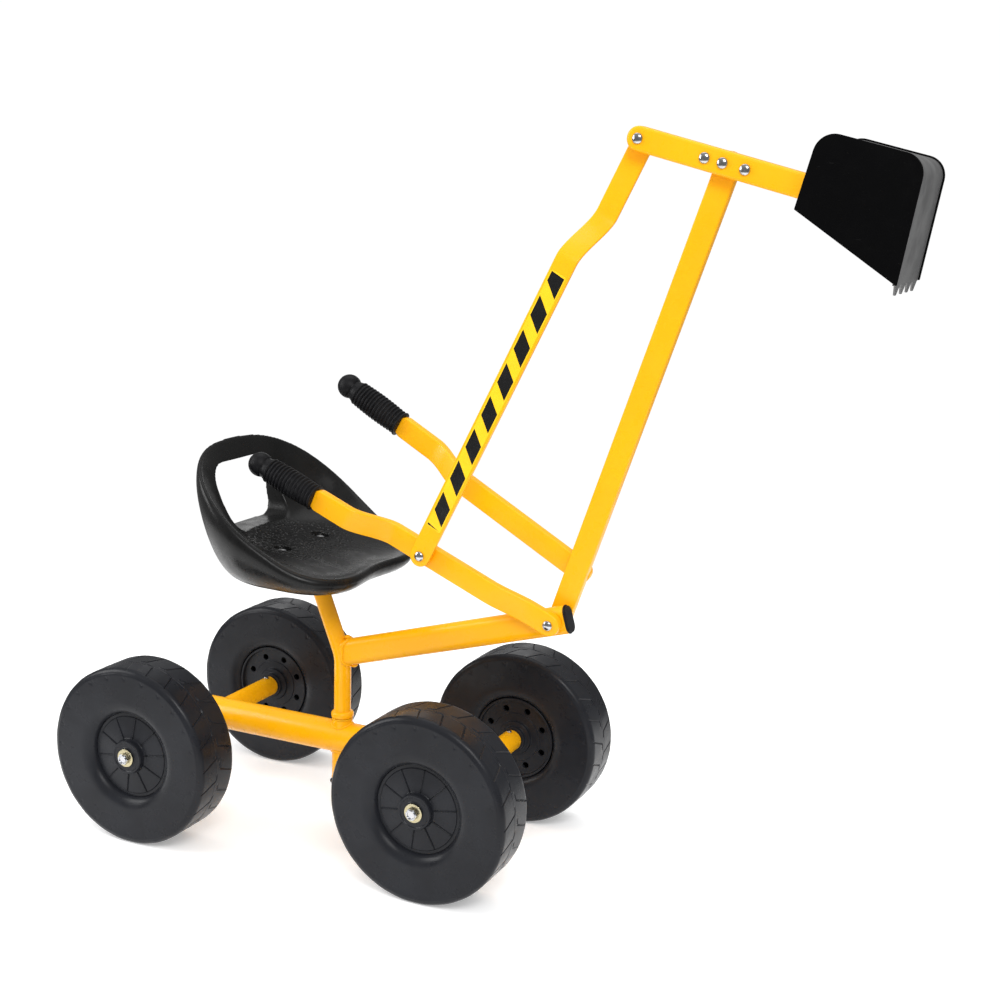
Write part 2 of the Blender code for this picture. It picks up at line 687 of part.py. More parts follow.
def seat_cage(name, top, under, soften=1):
    """A closed, softened cage through two sets of rings, over the pan's floor and over the base."""
    work = bmesh.new()
    rows = []
    floors = [(ring, SEAT_PAN_Z) for ring in top] + [(ring, SEAT_BASE_Z) for ring in under]
    for (share, up, lift), level in floors:
        row = []
        for k in range(SEAT_SPOKES):
            x, y, z = seat_rim(math.tau * k / SEAT_SPOKES)
            front = (SEAT_HALF_L + x) / (2 * SEAT_HALF_L)
            floor = level - (0.030 * front**3 * share if level == SEAT_PAN_Z else 0.0)
            row.append(work.verts.new((SEAT_MIDDLE_X + x * share, y * share, floor + (z - floor) * up + lift)))
        rows.append(row)
    for a, b in zip(rows, rows[1:]):
        for k in range(SEAT_SPOKES):
            n = (k + 1) % SEAT_SPOKES
            work.faces.new((a[k], a[n], b[n], b[k]))
    for row, z in ((rows[0], SEAT_PAN_Z + top[0][2]), (rows[-1], SEAT_BASE_Z + under[-1][2])):
        hub = work.verts.new((SEAT_MIDDLE_X, 0.0, z))
        for k in range(SEAT_SPOKES):
            work.faces.new((row[k], row[(k + 1) % SEAT_SPOKES], hub))
    thing = from_bmesh(name, work)
    soft = thing.modifiers.new("soften", "SUBSURF")
    soft.levels = soften
    soft.render_levels = soften
    return bake(thing)


def handle_hole(name, grow):
    """The carrying hole through the seat's back, as a cutter along X."""
    g = grow
    corners = [(-0.065 - g, 0.468 + g), (0.065 + g, 0.468 + g), (0.053 + g, 0.386 - g), (-0.053 - g, 0.386 - g)]
    made = plate(name, rounded(corners, [0.026 + g, 0.026 + g, 0.020 + g, 0.020 + g], 3), 0.12)
    return set_down(made, (SEAT_MIDDLE_X - SEAT_HALF_L + 0.020, 0.0, 0.0), (0.0, 0.0, math.radians(90)))


def seat(swivel):
    """The moulded hollow seat, with the carrying hole in its back and two bolt pockets in its pan."""
    body = seat_cage("seat", SEAT_TOP, SEAT_UNDER)
    cavity = seat_cage("seat_cavity", CAVITY_TOP, CAVITY_UNDER, soften=0)
    tools, pillars = [handle_hole("handle_hole", 0.0)], [handle_hole("handle_wall", 0.004)]
    for _, sign in SIDES:
        place = (BOLT_X, sign * SEAT_BOLT_Y, 0.0)
        pillar = rod("bolt_pillar", POCKET_R + SEAT_WALL, SEAT_BASE_Z - 0.01, SEAT_PAN_Z + 0.02, 12)
        pocket = rod("bolt_pocket", POCKET_R, SEAT_BASE_Z + POCKET_FLOOR, SEAT_PAN_Z + 0.02, 14)
        through = rod("bolt_through", SEAT_BOLT_R + RUN, SEAT_BASE_Z - 0.01, SEAT_PAN_Z, 10)
        pillars.append(set_down(pillar, place))
        tools += [set_down(pocket, place), set_down(through, place)]
    tools += [cut(cavity, *pillars)]
    vent = rod("mould_vent", 0.003, SEAT_BASE_Z - 0.02, SEAT_BASE_Z + 0.015, 8)
    tools.append(set_down(vent, (SEAT_MIDDLE_X + 0.050, 0.0, 0.0)))
    top = SEAT_TUBE_TOP + SEAT_PLATE[2] / 2 + GAP
    bracket = block("bracket_recess", (0.066, 0.118, 0.02), (BOLT_X + 0.006, 0.0, top - 0.01))
    return finish(put(cut(body, bracket, *tools), swivel), SEAT_PLASTIC, 50)


def seat_bolts(swivel):
    head = SEAT_BASE_Z + POCKET_FLOOR + GAP
    low = SEAT_TUBE_TOP - 0.007
    for side, sign in SIDES:
        profile = [(0.0, head + 0.0036), (0.0035, head + 0.0032), (HEAD_R, head), (SEAT_BOLT_R, head)]
        profile += [(SEAT_BOLT_R, low), (0.0, low)]
        bolt = turned(f"seat_bolt_{side}", profile, 12, closed=False)
        finish(put(bolt, swivel, (BOLT_X, sign * SEAT_BOLT_Y, 0.0)), ZINC)


# ---------------------------------------------------------------- linkage
def along(start, angle, distance):
    turn = math.radians(angle)
    return start + Vector((math.cos(turn), 0.0, math.sin(turn))) * distance


ARM_PIN = along(BOOM_PIN, ARM_ANGLE, ARM_LENGTH)
LINK_PIN = along(BOOM_PIN, LEVER_ANGLE, LEVER_PIN)
TAIL_PIN = along(ARM_PIN, DIPPER_ANGLE, -DIPPER_TAIL)
LINK_LENGTH = (TAIL_PIN - LINK_PIN).length
LINK_ANGLE = math.degrees(math.atan2(TAIL_PIN.z - LINK_PIN.z, TAIL_PIN.x - LINK_PIN.x))
LINK_BEND = (LINK_LENGTH - LINK_BEND_TO_TAIL[0], LINK_LENGTH - LINK_BEND_TO_TAIL[1])


def straight_bar(name, outline, inner, thickness, y):
    """A straight flat-oval tube from its side outline, hollowed by a smaller one."""
    body = plate(name, outline, thickness)
    edge = body.modifiers.new("edges", "BEVEL")
    edge.width = BAR_CORNER * 0.8
    edge.segments = 2
    edge.limit_method = "ANGLE"
    edge.angle_limit = math.radians(60)
    body = cut(bake(body), plate(f"{name}_bore", inner, thickness - 2 * BAR_WALL))
    return set_down(body, (0.0, y, 0.0))


def main_arm(arm):
    outline = stadium(0.0, ARM_LENGTH, BAR_W)
    inner = stadium(0.0, ARM_LENGTH, BAR_W - 2 * BAR_WALL)
    body = straight_bar("main_arm", outline, inner, BAR_T, ARM_Y)
    body = cut(body, cutter(0.0, 0.0, 0.04), cutter(ARM_LENGTH, 0.0, 0.04))
    return finish(put(body, arm), PAINT)


def dipper_bar(dipper):
    """The dipper: round at its tail, cut square where the bucket is welded on."""
    half = BAR_W / 2
    outline = arc((-DIPPER_TAIL, 0.0), half, 90, 270, 8) + [(BUCKET_BACK, -half), (BUCKET_BACK, half)]
    inset, end = half - BAR_WALL, BUCKET_BACK - 0.004
    inner = arc((-DIPPER_TAIL, 0.0), inset, 90, 270, 8) + [(end, -inset), (end, inset)]
    body = straight_bar("dipper_bar", outline, inner, DIPPER_T, 0.0)
    holes = [cutter(x, -0.03, 0.03) for x in (-DIPPER_TAIL, -STOP_BACK, 0.0, STOP_AHEAD)]
    return finish(put(cut(body, *holes), dipper), PAINT)


def bent_bar(name, start, end, side, bends, stub=None):
    """A flat-oval tube along X whose Y is side(x). A stub is the round end that a grip fits."""
    radius = BAR_W / 2
    caps = [(radius * math.cos(math.radians(a)), BAR_W * math.sin(math.radians(a))) for a in CAP_TURNS]
    xs = [start] + [low + (high - low) * i / 5 for low, high in bends for i in range(6)]
    stations = [(start - x, w, BAR_T) for x, w in caps] + [(x, BAR_W, BAR_T) for x in xs]
    if stub:
        stations += [(end - 0.012, BAR_W, BAR_T)]
        stations += [(x, 2 * GRIP_TUBE_R, 2 * GRIP_TUBE_R) for x in (end - 0.001, end + stub)]
    else:
        stations += [(end, BAR_W, BAR_T)] + [(end + x, w, BAR_T) for x, w in reversed(caps)]
    rows = [
        (Vector((x, side(x), 0.0)), w, d, GRIP_TUBE_R - HAIR if d > BAR_T else BAR_CORNER) for x, w, d in stations
    ]
    inner = [row for row in rows if row[0].x >= start and (stub or row[0].x <= end)]
    inner = [(m, w - 2 * BAR_WALL, d - 2 * BAR_WALL, c - BAR_WALL) for m, w, d, c in inner]
    inner[0] = (inner[0][0] - Vector((BORE_PAST, 0.0, 0.0)), *inner[0][1:])
    inner[-1] = (inner[-1][0] + Vector((BORE_PAST, 0.0, 0.0)), *inner[-1][1:])
    return cut(loft(name, rows), loft(f"{name}_bore", inner))


def right_side(x):
    first, second = RIGHT_BENDS
    return ease(x, *first, LEVER_Y, LEVER_MID_Y) + ease(x, *second, 0.0, RIGHT_GRIP_Y - LEVER_MID_Y)


def left_side(x):
    return ease(x, *LEFT_BENDS[0], LEFT_LEVER_Y, LEFT_GRIP_Y)


def link_side(x):
    return ease(x, *LINK_BEND, LINK_LOW_Y, LINK_HIGH_Y)


def grip(name, parent, at, y):
    """A ribbed grip along X, with a flange at its inner end and a ball at its outer end."""
    bore = round_clear(GRIP_TUBE_R + GAP, GRIP_STEPS)
    profile = [(bore, 0.0), (FLANGE_R, 0.0), (FLANGE_R, 0.0040), (GRIP_GROOVE_R, 0.0046)]
    pitch = 0.0686 / GRIP_RIBS
    for i in range(GRIP_RIBS):
        swell = GRIP_SWELL * math.sin(math.pi * (i + 0.5) / GRIP_RIBS)
        start = 0.0050 + i * pitch
        profile += [(GRIP_RIB_R + swell, start + pitch * 0.35), (GRIP_GROOVE_R + swell, start + pitch * 0.95)]
    middle = GRIP_LENGTH - BALL_R
    profile += [(0.0132, middle - 0.0105)] + arc((0.0, middle), BALL_R, -28, 72, 5)
    profile += [(0.0, GRIP_LENGTH - 0.0004), (0.0, GRIP_STUB + GAP), (bore, GRIP_STUB + GAP)]
    body = set_down(turned(name, profile, GRIP_STEPS), turn=ALONG_X)
    return finish(put(body, parent, (at, y, 0.0)), GRIP_RUBBER, 60)


def levers(arm, lever):
    """The left lever is fixed on the arm and the right one turns beside it."""
    lean = -math.radians(LEFT_LEVER_ANGLE - ARM_ANGLE)
    root = put(pivot("left_lever_root", BOOM_PIN), arm, (LEFT_LEVER_UP, 0.0, 0.0), (0.0, lean, 0.0))
    left = bent_bar("left_lever", 0.0, LEFT_GRIP_AT, left_side, LEFT_BENDS, GRIP_STUB)
    finish(put(left, root), PAINT)
    grip("left_grip", root, LEFT_GRIP_AT, LEFT_GRIP_Y)
    right = bent_bar("right_lever", 0.0, RIGHT_GRIP_AT, right_side, RIGHT_BENDS, GRIP_STUB)
    right = cut(right, cutter(0.0, -0.04, 0.0), cutter(LEVER_PIN, -0.05, 0.0))
    finish(put(right, lever), PAINT)
    grip("right_grip", lever, RIGHT_GRIP_AT, RIGHT_GRIP_Y)


def link_bar(link):
    body = bent_bar("link_bar", 0.0, LINK_LENGTH, link_side, (LINK_BEND,))
    body = cut(body, cutter(0.0, -0.06, 0.0), cutter(LINK_LENGTH, 0.0, 0.04))
    finish(put(body, link), PAINT)
    size = (STRIPES_TO - STRIPES_FROM, STRIPES_T, BAR_W - 2 * BAR_CORNER + 0.003)
    face = LINK_LOW_Y - BAR_T / 2 - HAIR - STRIPES_T / 2
    film = block("stripe_film", size, ((STRIPES_FROM + STRIPES_TO) / 2, face, 0.0))
    return finish(put(film, link), STRIPES)


# ---------------------------------------------------------------- bucket
def inset(points, distance):
    """Moves the straight stretches of an open outline to their right."""
    made = []
    for i, here in enumerate(points):
        here = Vector(here)
        sides = []
        if i > 0:
            sides.append((here - Vector(points[i - 1])).normalized())
        if i < len(points) - 1:
            sides.append((Vector(points[i + 1]) - here).normalized())
        normals = [Vector((s.y, -s.x)) for s in sides]
        normal = sum(normals, Vector((0.0, 0.0))).normalized()
        made.append(tuple(here + normal * (distance / normal.dot(normals[0]))))
    return made


def tooth_strip(lip, down):
    """The lip's teeth, in the front wall's own plane: tapered tines with narrow-topped slots between."""
    edge = BUCKET_HALF_W - HAIR
    pitch = 2 * edge / TEETH
    outline = [(-edge, -0.006)]
    for i in range(TEETH):
        left = -edge + i * pitch
        outline += [(left, 0.0), (left + 0.05 * pitch, 0.0), (left + 0.38 * pitch, TOOTH)]
        outline += [(left + 0.58 * pitch, TOOTH), (left + 0.95 * pitch, 0.0)]
    outline += [(edge, 0.0), (edge, -0.006)]
    strip = plate("tooth_strip", outline, SHEET * 0.8, turn=(0.0, 0.0, 0.0))
    fall = Vector((down.x, 0.0, down.y))
    across = Vector((0.0, 1.0, 0.0))
    turn = Matrix((across, fall, across.cross(fall))).transposed().to_4x4()
    place = Vector((lip.x + down.y * SHEET / 2, 0.0, lip.y - down.x * SHEET / 2))
    strip.data.transform(Matrix.Translation(place) @ turn)
    return strip


def bucket(dipper):
    """Two side plates and the bent sheet between them, with its back on the dipper's end."""
    shift = SHEET + GAP
    corners = [(x + shift, z) for x, z in BUCKET_OUTLINE]
    for side, sign in SIDES:
        shape = plate(f"bucket_side_{side}", rounded(corners, (0.0, BUCKET_CORNER, BUCKET_CORNER, 0.0)), SHEET)
        set_down(shape, (0.0, sign * (BUCKET_HALF_W + GAP + SHEET / 2), 0.0))
        finish(put(shape, dipper), BUCKET_BLACK)
    paths = []
    for depth in (PLATE_LIP, PLATE_LIP + SHEET):
        turn = BUCKET_CORNER - depth
        paths.append(rounded(inset(corners, depth), (0.0, turn, turn, 0.0)))
    wrap = plate("bucket_wrap", paths[0] + paths[1][::-1], 2 * BUCKET_HALF_W)
    outer = [Vector(p) for p in inset(corners, PLATE_LIP)]
    wrap = join(wrap, tooth_strip(outer[3], (outer[3] - outer[2]).normalized()))
    return finish(put(wrap, dipper), BUCKET_GREY)


# ---------------------------------------------------------------- pivots
def pivot_hardware(swivel, lever, link, dipper):
    """Each pivot's round-headed bolt on the right side and its lock nut on the left."""

    def bolt(name, parent, x, face, shank, z=0.0):
        finish(put(domed_bolt(name, shank), parent, (x, face, z)), ZINC)

    def nut(name, parent, x, face, z=0.0):
        finish(put(lock_nut(name), parent, (x, face, z)), ZINC)

    past = NUT_H + 0.001
    left = ARM_Y + BAR_T / 2 + GAP
    right = LEVER_Y - BAR_T / 2 - GAP
    bolt("boom_pivot_bolt", swivel, BOOM_RUN, right, left - right + past, BOOM_PIN.z)
    nut("boom_pivot_nut", swivel, BOOM_RUN, left, BOOM_PIN.z)
    right = LINK_LOW_Y - BAR_T / 2 - GAP
    inside = LEVER_MID_Y + BAR_T / 2 + GAP
    bolt("lever_pivot_bolt", lever, LEVER_PIN, right, inside - right + past)
    nut("lever_pivot_nut", lever, LEVER_PIN, inside)
    right = -DIPPER_T / 2 - GAP
    bolt("arm_pivot_bolt", dipper, 0.0, right, left - right + past)
    nut("arm_pivot_nut", dipper, 0.0, left)
    bolt("tail_pivot_bolt", dipper, -DIPPER_TAIL, right, DIPPER_T)
    start = DIPPER_T / 2 + RUN - left
    end = set_down(rod("bolt_end", PIN_R, start, past, 12), turn=ALONG_Y)
    tail = join(lock_nut("tail_pivot_nut", bore=PIN_R - 0.0006), end)
    finish(put(tail, link, (LINK_LENGTH, left, 0.0)), ZINC)
    for name, x in (("stop_bolt_rear", -STOP_BACK), ("stop_bolt_front", STOP_AHEAD)):
        bolt(name, dipper, x, right, DIPPER_T + BAR_T)


def build():
    base()
    swivel = pivot("swivel", (SWIVEL_X, 0.0, 0.0))
    upper_frame(swivel)
    swivel_hardware(swivel)
    boom_end_cap(swivel)
    seat(swivel)
    seat_bolts(swivel)
    arm = pivot("arm_pivot", BOOM_PIN, ARM_ANGLE)
    lever = pivot("lever_pivot", BOOM_PIN, LEVER_ANGLE)
    link = pivot("link_pivot", LINK_PIN, LINK_ANGLE)
    dipper = pivot("dipper_pivot", ARM_PIN, DIPPER_ANGLE)
    main_arm(arm)
    levers(arm, lever)
    link_bar(link)
    dipper_bar(dipper)
    bucket(dipper)
    pivot_hardware(swivel, lever, link, dipper)


build()
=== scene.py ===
"""The looks of the ride-on sand digger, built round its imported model. Metres, +Z up, +X forwards."""

import json
import math

import bmesh
import bpy
import numpy as np
from mathutils import Matrix, Vector


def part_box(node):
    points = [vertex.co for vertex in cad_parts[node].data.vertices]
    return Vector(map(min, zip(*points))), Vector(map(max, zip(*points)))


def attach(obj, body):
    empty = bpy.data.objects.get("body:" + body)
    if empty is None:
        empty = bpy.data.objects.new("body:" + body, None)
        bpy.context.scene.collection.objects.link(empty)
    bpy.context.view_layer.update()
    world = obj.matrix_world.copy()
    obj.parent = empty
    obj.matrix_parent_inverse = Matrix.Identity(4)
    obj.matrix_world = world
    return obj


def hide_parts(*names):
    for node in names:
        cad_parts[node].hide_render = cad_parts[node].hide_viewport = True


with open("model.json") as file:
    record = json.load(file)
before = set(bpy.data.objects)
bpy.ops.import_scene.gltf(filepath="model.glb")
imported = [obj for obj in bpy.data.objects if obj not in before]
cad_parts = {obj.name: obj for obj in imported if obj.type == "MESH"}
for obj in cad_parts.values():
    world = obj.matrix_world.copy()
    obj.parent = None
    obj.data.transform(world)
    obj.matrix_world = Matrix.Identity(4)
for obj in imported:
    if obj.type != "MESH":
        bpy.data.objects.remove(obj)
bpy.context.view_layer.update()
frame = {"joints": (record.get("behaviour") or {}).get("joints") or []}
JOINT = {j["name"]: Vector(j["pos_m"]) for j in frame["joints"]}
ENDS = ("front", "rear")
SIDES = (("right", -1), ("left", 1))


# ---- shader building
class Nodes:
    """A material under construction. Its patterns lie in the piece's own coordinates."""

    def __init__(self, name, colour, roughness, metallic=0.0, coat=0.0, coat_roughness=0.1, specular=0.5):
        self.made = bpy.data.materials.new(name)
        self.made.use_nodes = True
        self.tree = self.made.node_tree
        self.shader = self.tree.nodes["Principled BSDF"]
        self.place = self.tree.nodes.new("ShaderNodeTexCoord").outputs["Object"]
        for socket, value in (
            ("Base Color", (*colour, 1.0)),
            ("Roughness", roughness),
            ("Metallic", metallic),
            ("Coat Weight", coat),
            ("Coat Roughness", coat_roughness),
            ("Specular IOR Level", specular),
        ):
            self.shader.inputs[socket].default_value = value

    def join(self, value, socket):
        if isinstance(value, bpy.types.NodeSocket):
            self.tree.links.new(value, socket)
        else:
            socket.default_value = value

    def stretch(self, scale):
        node = self.tree.nodes.new("ShaderNodeMapping")
        node.inputs["Scale"].default_value = scale
        self.join(self.place, node.inputs["Vector"])
        return node.outputs["Vector"]

    def noise(self, scale, detail=3.0, vector=None, roughness=0.55):
        node = self.tree.nodes.new("ShaderNodeTexNoise")
        self.join(vector or self.place, node.inputs["Vector"])
        for name, value in (("Scale", scale), ("Detail", detail), ("Roughness", roughness)):
            node.inputs[name].default_value = value
        return node.outputs["Fac"]

    def cells(self, scale):
        node = self.tree.nodes.new("ShaderNodeTexVoronoi")
        self.join(self.place, node.inputs["Vector"])
        node.inputs["Scale"].default_value = scale
        return node.outputs["Distance"]

    def step(self, value, start, end, low=0.0, high=1.0):
        node = self.tree.nodes.new("ShaderNodeMapRange")
        node.interpolation_type = "SMOOTHSTEP"
        for index, number in enumerate((value, start, end, low, high)):
            self.join(number, node.inputs[index])
        return node.outputs["Result"]

    def maths(self, operation, a, b=0.0):
        node = self.tree.nodes.new("ShaderNodeMath")
        node.operation = operation
        self.join(a, node.inputs[0])
        self.join(b, node.inputs[1])
        return node.outputs[0]

    def mix(self, share, a, b):
        node = self.tree.nodes.new("ShaderNodeMix")
        node.data_type = "RGBA"
        self.join(share, node.inputs["Factor"])
        for socket, value in ((node.inputs[6], a), (node.inputs[7], b)):
            self.join(value if isinstance(value, bpy.types.NodeSocket) else (*value, 1.0), socket)
        return node.outputs[2]

    def axes(self):
        node = self.tree.nodes.new("ShaderNodeSeparateXYZ")
        self.join(self.place, node.inputs[0])
        return node.outputs

    def length(self, x, y):
        squares = (self.maths("MULTIPLY", v, v) for v in (x, y))
        return self.maths("SQRT", self.maths("ADD", *squares))

    def colour(self, value):
        self.join(value, self.shader.inputs["Base Color"])

    def clouds(self, scale, detail, start, end, a, b):
        """Two tones in slow clouds."""
        return self.mix(self.step(self.noise(scale, detail), start, end), a, b)

    def roughness(self, scale, detail, low, high):
        """Patches that shine more and less."""
        patches = self.step(self.noise(scale, detail), 0.3, 0.75, low, high)
        self.join(patches, self.shader.inputs["Roughness"])

    def bump(self, *layers):
        """Layers of (height, strength, depth in metres)."""
        last = None
        for height, strength, depth in layers:
            node = self.tree.nodes.new("ShaderNodeBump")
            node.inputs["Strength"].default_value = strength
            node.inputs["Distance"].default_value = depth
            self.join(height, node.inputs["Height"])
            if last:
                self.join(last, node.inputs["Normal"])
            last = node.outputs["Normal"]
        self.join(last, self.shader.inputs["Normal"])
        return self.made


def yellow_paint(name="yellow_gloss", tone=(0.96, 0.450, 0.004), deep=(0.95, 0.420, 0.003)):
    """Glossy powder coat: a slow drift of tone, a faint orange-peel skin and a few specks."""
    m = Nodes(name, tone, 0.32, coat=0.08, coat_roughness=0.10, specular=0.24)
    m.colour(m.clouds(9.0, 2.0, 0.35, 0.72, tone, deep))
    m.roughness(60.0, 4.0, 0.24, 0.38)
    specks = m.step(m.cells(230.0), 0.0, 0.09, 1.0, 0.0)
    return m.bump((m.noise(420.0, 2.0), 0.10, 0.0004), (specks, 0.06, 0.0002))


def wheel_plastic(name="wheel_satin", tone=(0.0150, 0.0160, 0.0195), deep=(0.0110, 0.0115, 0.0140)):
    """Blow-moulded polyethylene: waxy, slightly mottled, with a fine moulded grain."""
    m = Nodes(name, tone, 0.34, specular=0.17)
    m.colour(m.clouds(16.0, 4.0, 0.36, 0.70, tone, deep))
    m.roughness(38.0, 5.0, 0.25, 0.38)
    return m.bump((m.noise(900.0, 2.0), 0.14, 0.0003), (m.noise(48.0, 2.0), 0.10, 0.0012))


def seat_plastic(name, middle, radius):
    """Satin seat plastic. Leather-like pebbles fade in over the middle of the pan, and their crowns carry a
    painted highlight: light grey dots standing for the pebbles' glints.
    """
    m = Nodes(name, (0.007, 0.007, 0.007), 0.30, specular=0.20)
    x, y, z = m.axes()
    dx = m.maths("DIVIDE", m.maths("SUBTRACT", x, middle.x), radius[0])
    dy = m.maths("DIVIDE", m.maths("SUBTRACT", y, middle.y), radius[1])
    inside = m.step(m.length(dx, dy), 0.85, 1.08, 1.0, 0.0)
    pan = m.maths("MULTIPLY", inside, m.step(z, middle.z - 0.012, middle.z - 0.006))
    pebbles = m.step(m.cells(215.0), 0.10, 0.62, 1.0, 0.0)
    skin = m.maths("MULTIPLY", pebbles, pan)
    satin = m.clouds(22.0, 4.0, 0.38, 0.72, (0.009, 0.009, 0.009), (0.006, 0.006, 0.006))
    # Painted highlight: the pebble crowns are coloured light grey (0.055) to stand for the glints of light
    # on them.
    pebble_glint = m.maths("MULTIPLY", m.step(m.cells(215.0), 0.12, 0.40, 1.0, 0.0), pan)
    m.colour(m.mix(pebble_glint, satin, (0.055, 0.055, 0.055)))
    smooth = m.step(m.noise(55.0, 4.0), 0.3, 0.75, 0.24, 0.36)
    smooth = m.maths("ADD", smooth, m.maths("MULTIPLY", pan, -0.06))
    m.join(smooth, m.shader.inputs["Roughness"])
    return m.bump((skin, 0.8, 0.0016), (m.noise(1100.0, 2.0), 0.10, 0.0002))


def grip_rubber():
    m = Nodes("grip_soft", (0.006, 0.006, 0.006), 0.45, specular=0.15)
    m.colour(m.clouds(60.0, 4.0, 0.35, 0.7, (0.008, 0.008, 0.009), (0.005, 0.005, 0.006)))
    m.roughness(110.0, 4.0, 0.38, 0.58)
    return m.bump((m.noise(1500.0, 2.0), 0.25, 0.0002))


def zinc(name="zinc_bright", tone=(0.52, 0.53, 0.56), rough=(0.12, 0.26)):
    """Bright zinc plate: faint blue and straw patches, and turning marks."""
    m = Nodes(name, tone, 0.25, metallic=1.0)
    warm = tuple(c * f for c, f in zip(tone, (1.02, 0.98, 0.90)))
    m.colour(m.clouds(170.0, 3.0, 0.4, 0.65, tone, warm))
    m.roughness(420.0, 4.0, *rough)
    return m.bump((m.noise(600.0, 2.0, m.stretch((1.0, 9.0, 1.0))), 0.12, 0.0002))


def bucket_black():
    """Gloss black paint with dust specks and fine scratches."""
    m = Nodes("bucket_gloss_black", (0.0025, 0.0025, 0.0027), 0.22, specular=0.06)
    dust = m.step(m.cells(420.0), 0.0, 0.10, 1.0, 0.0)
    fine = m.step(m.noise(130.0, 2.0), 0.52, 0.62)
    scratch = m.step(m.noise(26.0, 6.0, m.stretch((1.0, 1.0, 26.0)), 0.75), 0.685, 0.72)
    marks = m.maths("MAXIMUM", m.maths("MULTIPLY", dust, fine), m.maths("MULTIPLY", scratch, 0.55))
    m.colour(m.mix(marks, (0.0025, 0.0025, 0.0027), (0.045, 0.045, 0.046)))
    m.roughness(70.0, 5.0, 0.15, 0.32)
    return m.bump((marks, 0.15, 0.0001), (m.noise(330.0, 2.0), 0.05, 0.0003))


def bucket_grey():
    """The bent sheet's thinner coat: mid grey, cloudy, with rubbed patches."""
    m = Nodes("bucket_satin_grey", (0.10, 0.10, 0.10), 0.38, specular=0.5)
    cloud = m.step(m.noise(13.0, 4.0), 0.40, 0.66)
    rub = m.step(m.noise(90.0, 6.0, m.stretch((1.0, 1.0, 0.4)), 0.7), 0.56, 0.70)
    tone = m.mix(cloud, (0.150, 0.150, 0.151), (0.095, 0.095, 0.096))
    m.colour(m.mix(m.maths("MULTIPLY", rub, 0.30), tone, (0.19, 0.19, 0.19)))
    m.join(m.step(cloud, 0.0, 1.0, 0.30, 0.46), m.shader.inputs["Roughness"])
    return m.bump((m.noise(380.0, 3.0), 0.10, 0.0003))


def film(name, tone, deep):
    m = Nodes(name, tone, 0.25, coat=0.5, coat_roughness=0.06)
    m.colour(m.clouds(30.0, 3.0, 0.35, 0.7, tone, deep))
    m.roughness(90.0, 3.0, 0.18, 0.30)
    return m.bump((m.noise(140.0, 2.0), 0.05, 0.0004))


def floor_look():
    """Matt white paper that fades out well away from the digger, so that it has no horizon."""
    m = Nodes("pale_floor", (0.90, 0.90, 0.90), 0.85, specular=0.05)
    m.colour(m.mix(m.noise(3.0, 2.0), (0.91, 0.91, 0.91), (0.89, 0.89, 0.89)))
    m.shader.inputs["Emission Color"].default_value = (1.0, 1.0, 1.0, 1.0)
    m.shader.inputs["Emission Strength"].default_value = 0.30
    x, y, _ = m.axes()
    m.join(m.step(m.length(x, y), 0.8, 1.7, 1.0, 0.0), m.shader.inputs["Alpha"])
    return m.bump((m.noise(60.0, 2.0), 0.02, 0.0005))


# ---- mesh building
def loop(rows, closed=False, caps=True):
    """Joins rows of points, each a closed ring. closed joins the last row to the first."""
    rows = np.asarray(rows, float)
    count, size = rows.shape[:2]
    index = np.arange(count * size).reshape(count, size)
    faces = []
    for a in range(count if closed else count - 1):
        low, high = index[a], index[(a + 1) % count]
        faces += np.stack((low, np.roll(low, -1), np.roll(high, -1), high), 1).tolist()
    if caps and not closed:
        faces += [index[0][::-1].tolist(), index[-1].tolist()]
    return rows.reshape(-1, 3), faces


def shift(x, y, z):
    return Matrix.Translation((x, y, z))


def spin(degrees, axis):
    return Matrix.Rotation(math.radians(degrees), 4, axis)


def moved(part, matrix):
    points, faces = part
    turn = np.array(matrix.to_3x3())
    return points @ turn.T + np.array(matrix.translation), faces


def together(*parts):
    points, faces, start = [], [], 0
    for some, more in parts:
        points.append(some)
        faces += [[i + start for i in face] for face in more]
        start += len(some)
    return np.concatenate(points), faces


def mesh_of(name, part, look, sharp=38.0, weld=True):
    points, faces = part
    mesh = bpy.data.meshes.new(name)
    mesh.from_pydata(points.tolist(), [], faces)
    work = bmesh.new()
    work.from_mesh(mesh)
    if weld:
        bmesh.ops.remove_doubles(work, verts=work.verts, dist=2e-6)
    bmesh.ops.recalc_face_normals(work, faces=work.faces)
    work.to_mesh(mesh)
    work.free()
    for each in look if isinstance(look, tuple) else (look,):
        mesh.materials.append(each)
    mesh.shade_smooth()
    mesh.set_sharp_from_angle(angle=math.radians(sharp))
    return mesh


def add(name, data):
    thing = bpy.data.objects.new(name, data)
    bpy.context.scene.collection.objects.link(thing)
    return thing


def evaluated(thing):
    """A new mesh with the modifiers' result."""
    bpy.context.view_layer.update()
    return bpy.data.meshes.new_from_object(thing.evaluated_get(bpy.context.evaluated_depsgraph_get()))


def place(name, mesh, body, stands_for, matrix=None, shared=False):
    """Puts a mesh on its body, in place of its CAD node. A mesh that is used once is moved itself."""
    thing = add(name, mesh)
    if matrix and shared:
        thing.matrix_world = matrix
    elif matrix:
        mesh.transform(matrix)
    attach(thing, body)
    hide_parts(stands_for)


def put(name, part, look, body, stands_for, matrix=None, sharp=38.0):
    """Meshes a part that is used once, and places it."""
    place(name, mesh_of(name, part, look, sharp), body, stands_for, matrix)


def over(node, rise):
    """A matrix at the middle of a CAD node's top, raised."""
    low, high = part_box(node)
    return shift((low.x + high.x) / 2, (low.y + high.y) / 2, high.z + rise)


def rectangle(half_x, half_y):
    return [(-half_x, -half_y), (half_x, -half_y), (half_x, half_y), (-half_x, half_y)]


def ellipse(half_x, half_y, steps):
    return [(half_x * math.cos(t), half_y * math.sin(t)) for t in circle(steps)]


def circle(steps):
    return np.linspace(0.0, math.tau, steps, endpoint=False)


def arc(cx, cy, radius, start, end, steps):
    turns = np.radians(np.linspace(start, end, steps + 1))
    return [(cx + radius * math.cos(a), cy + radius * math.sin(a)) for a in turns]


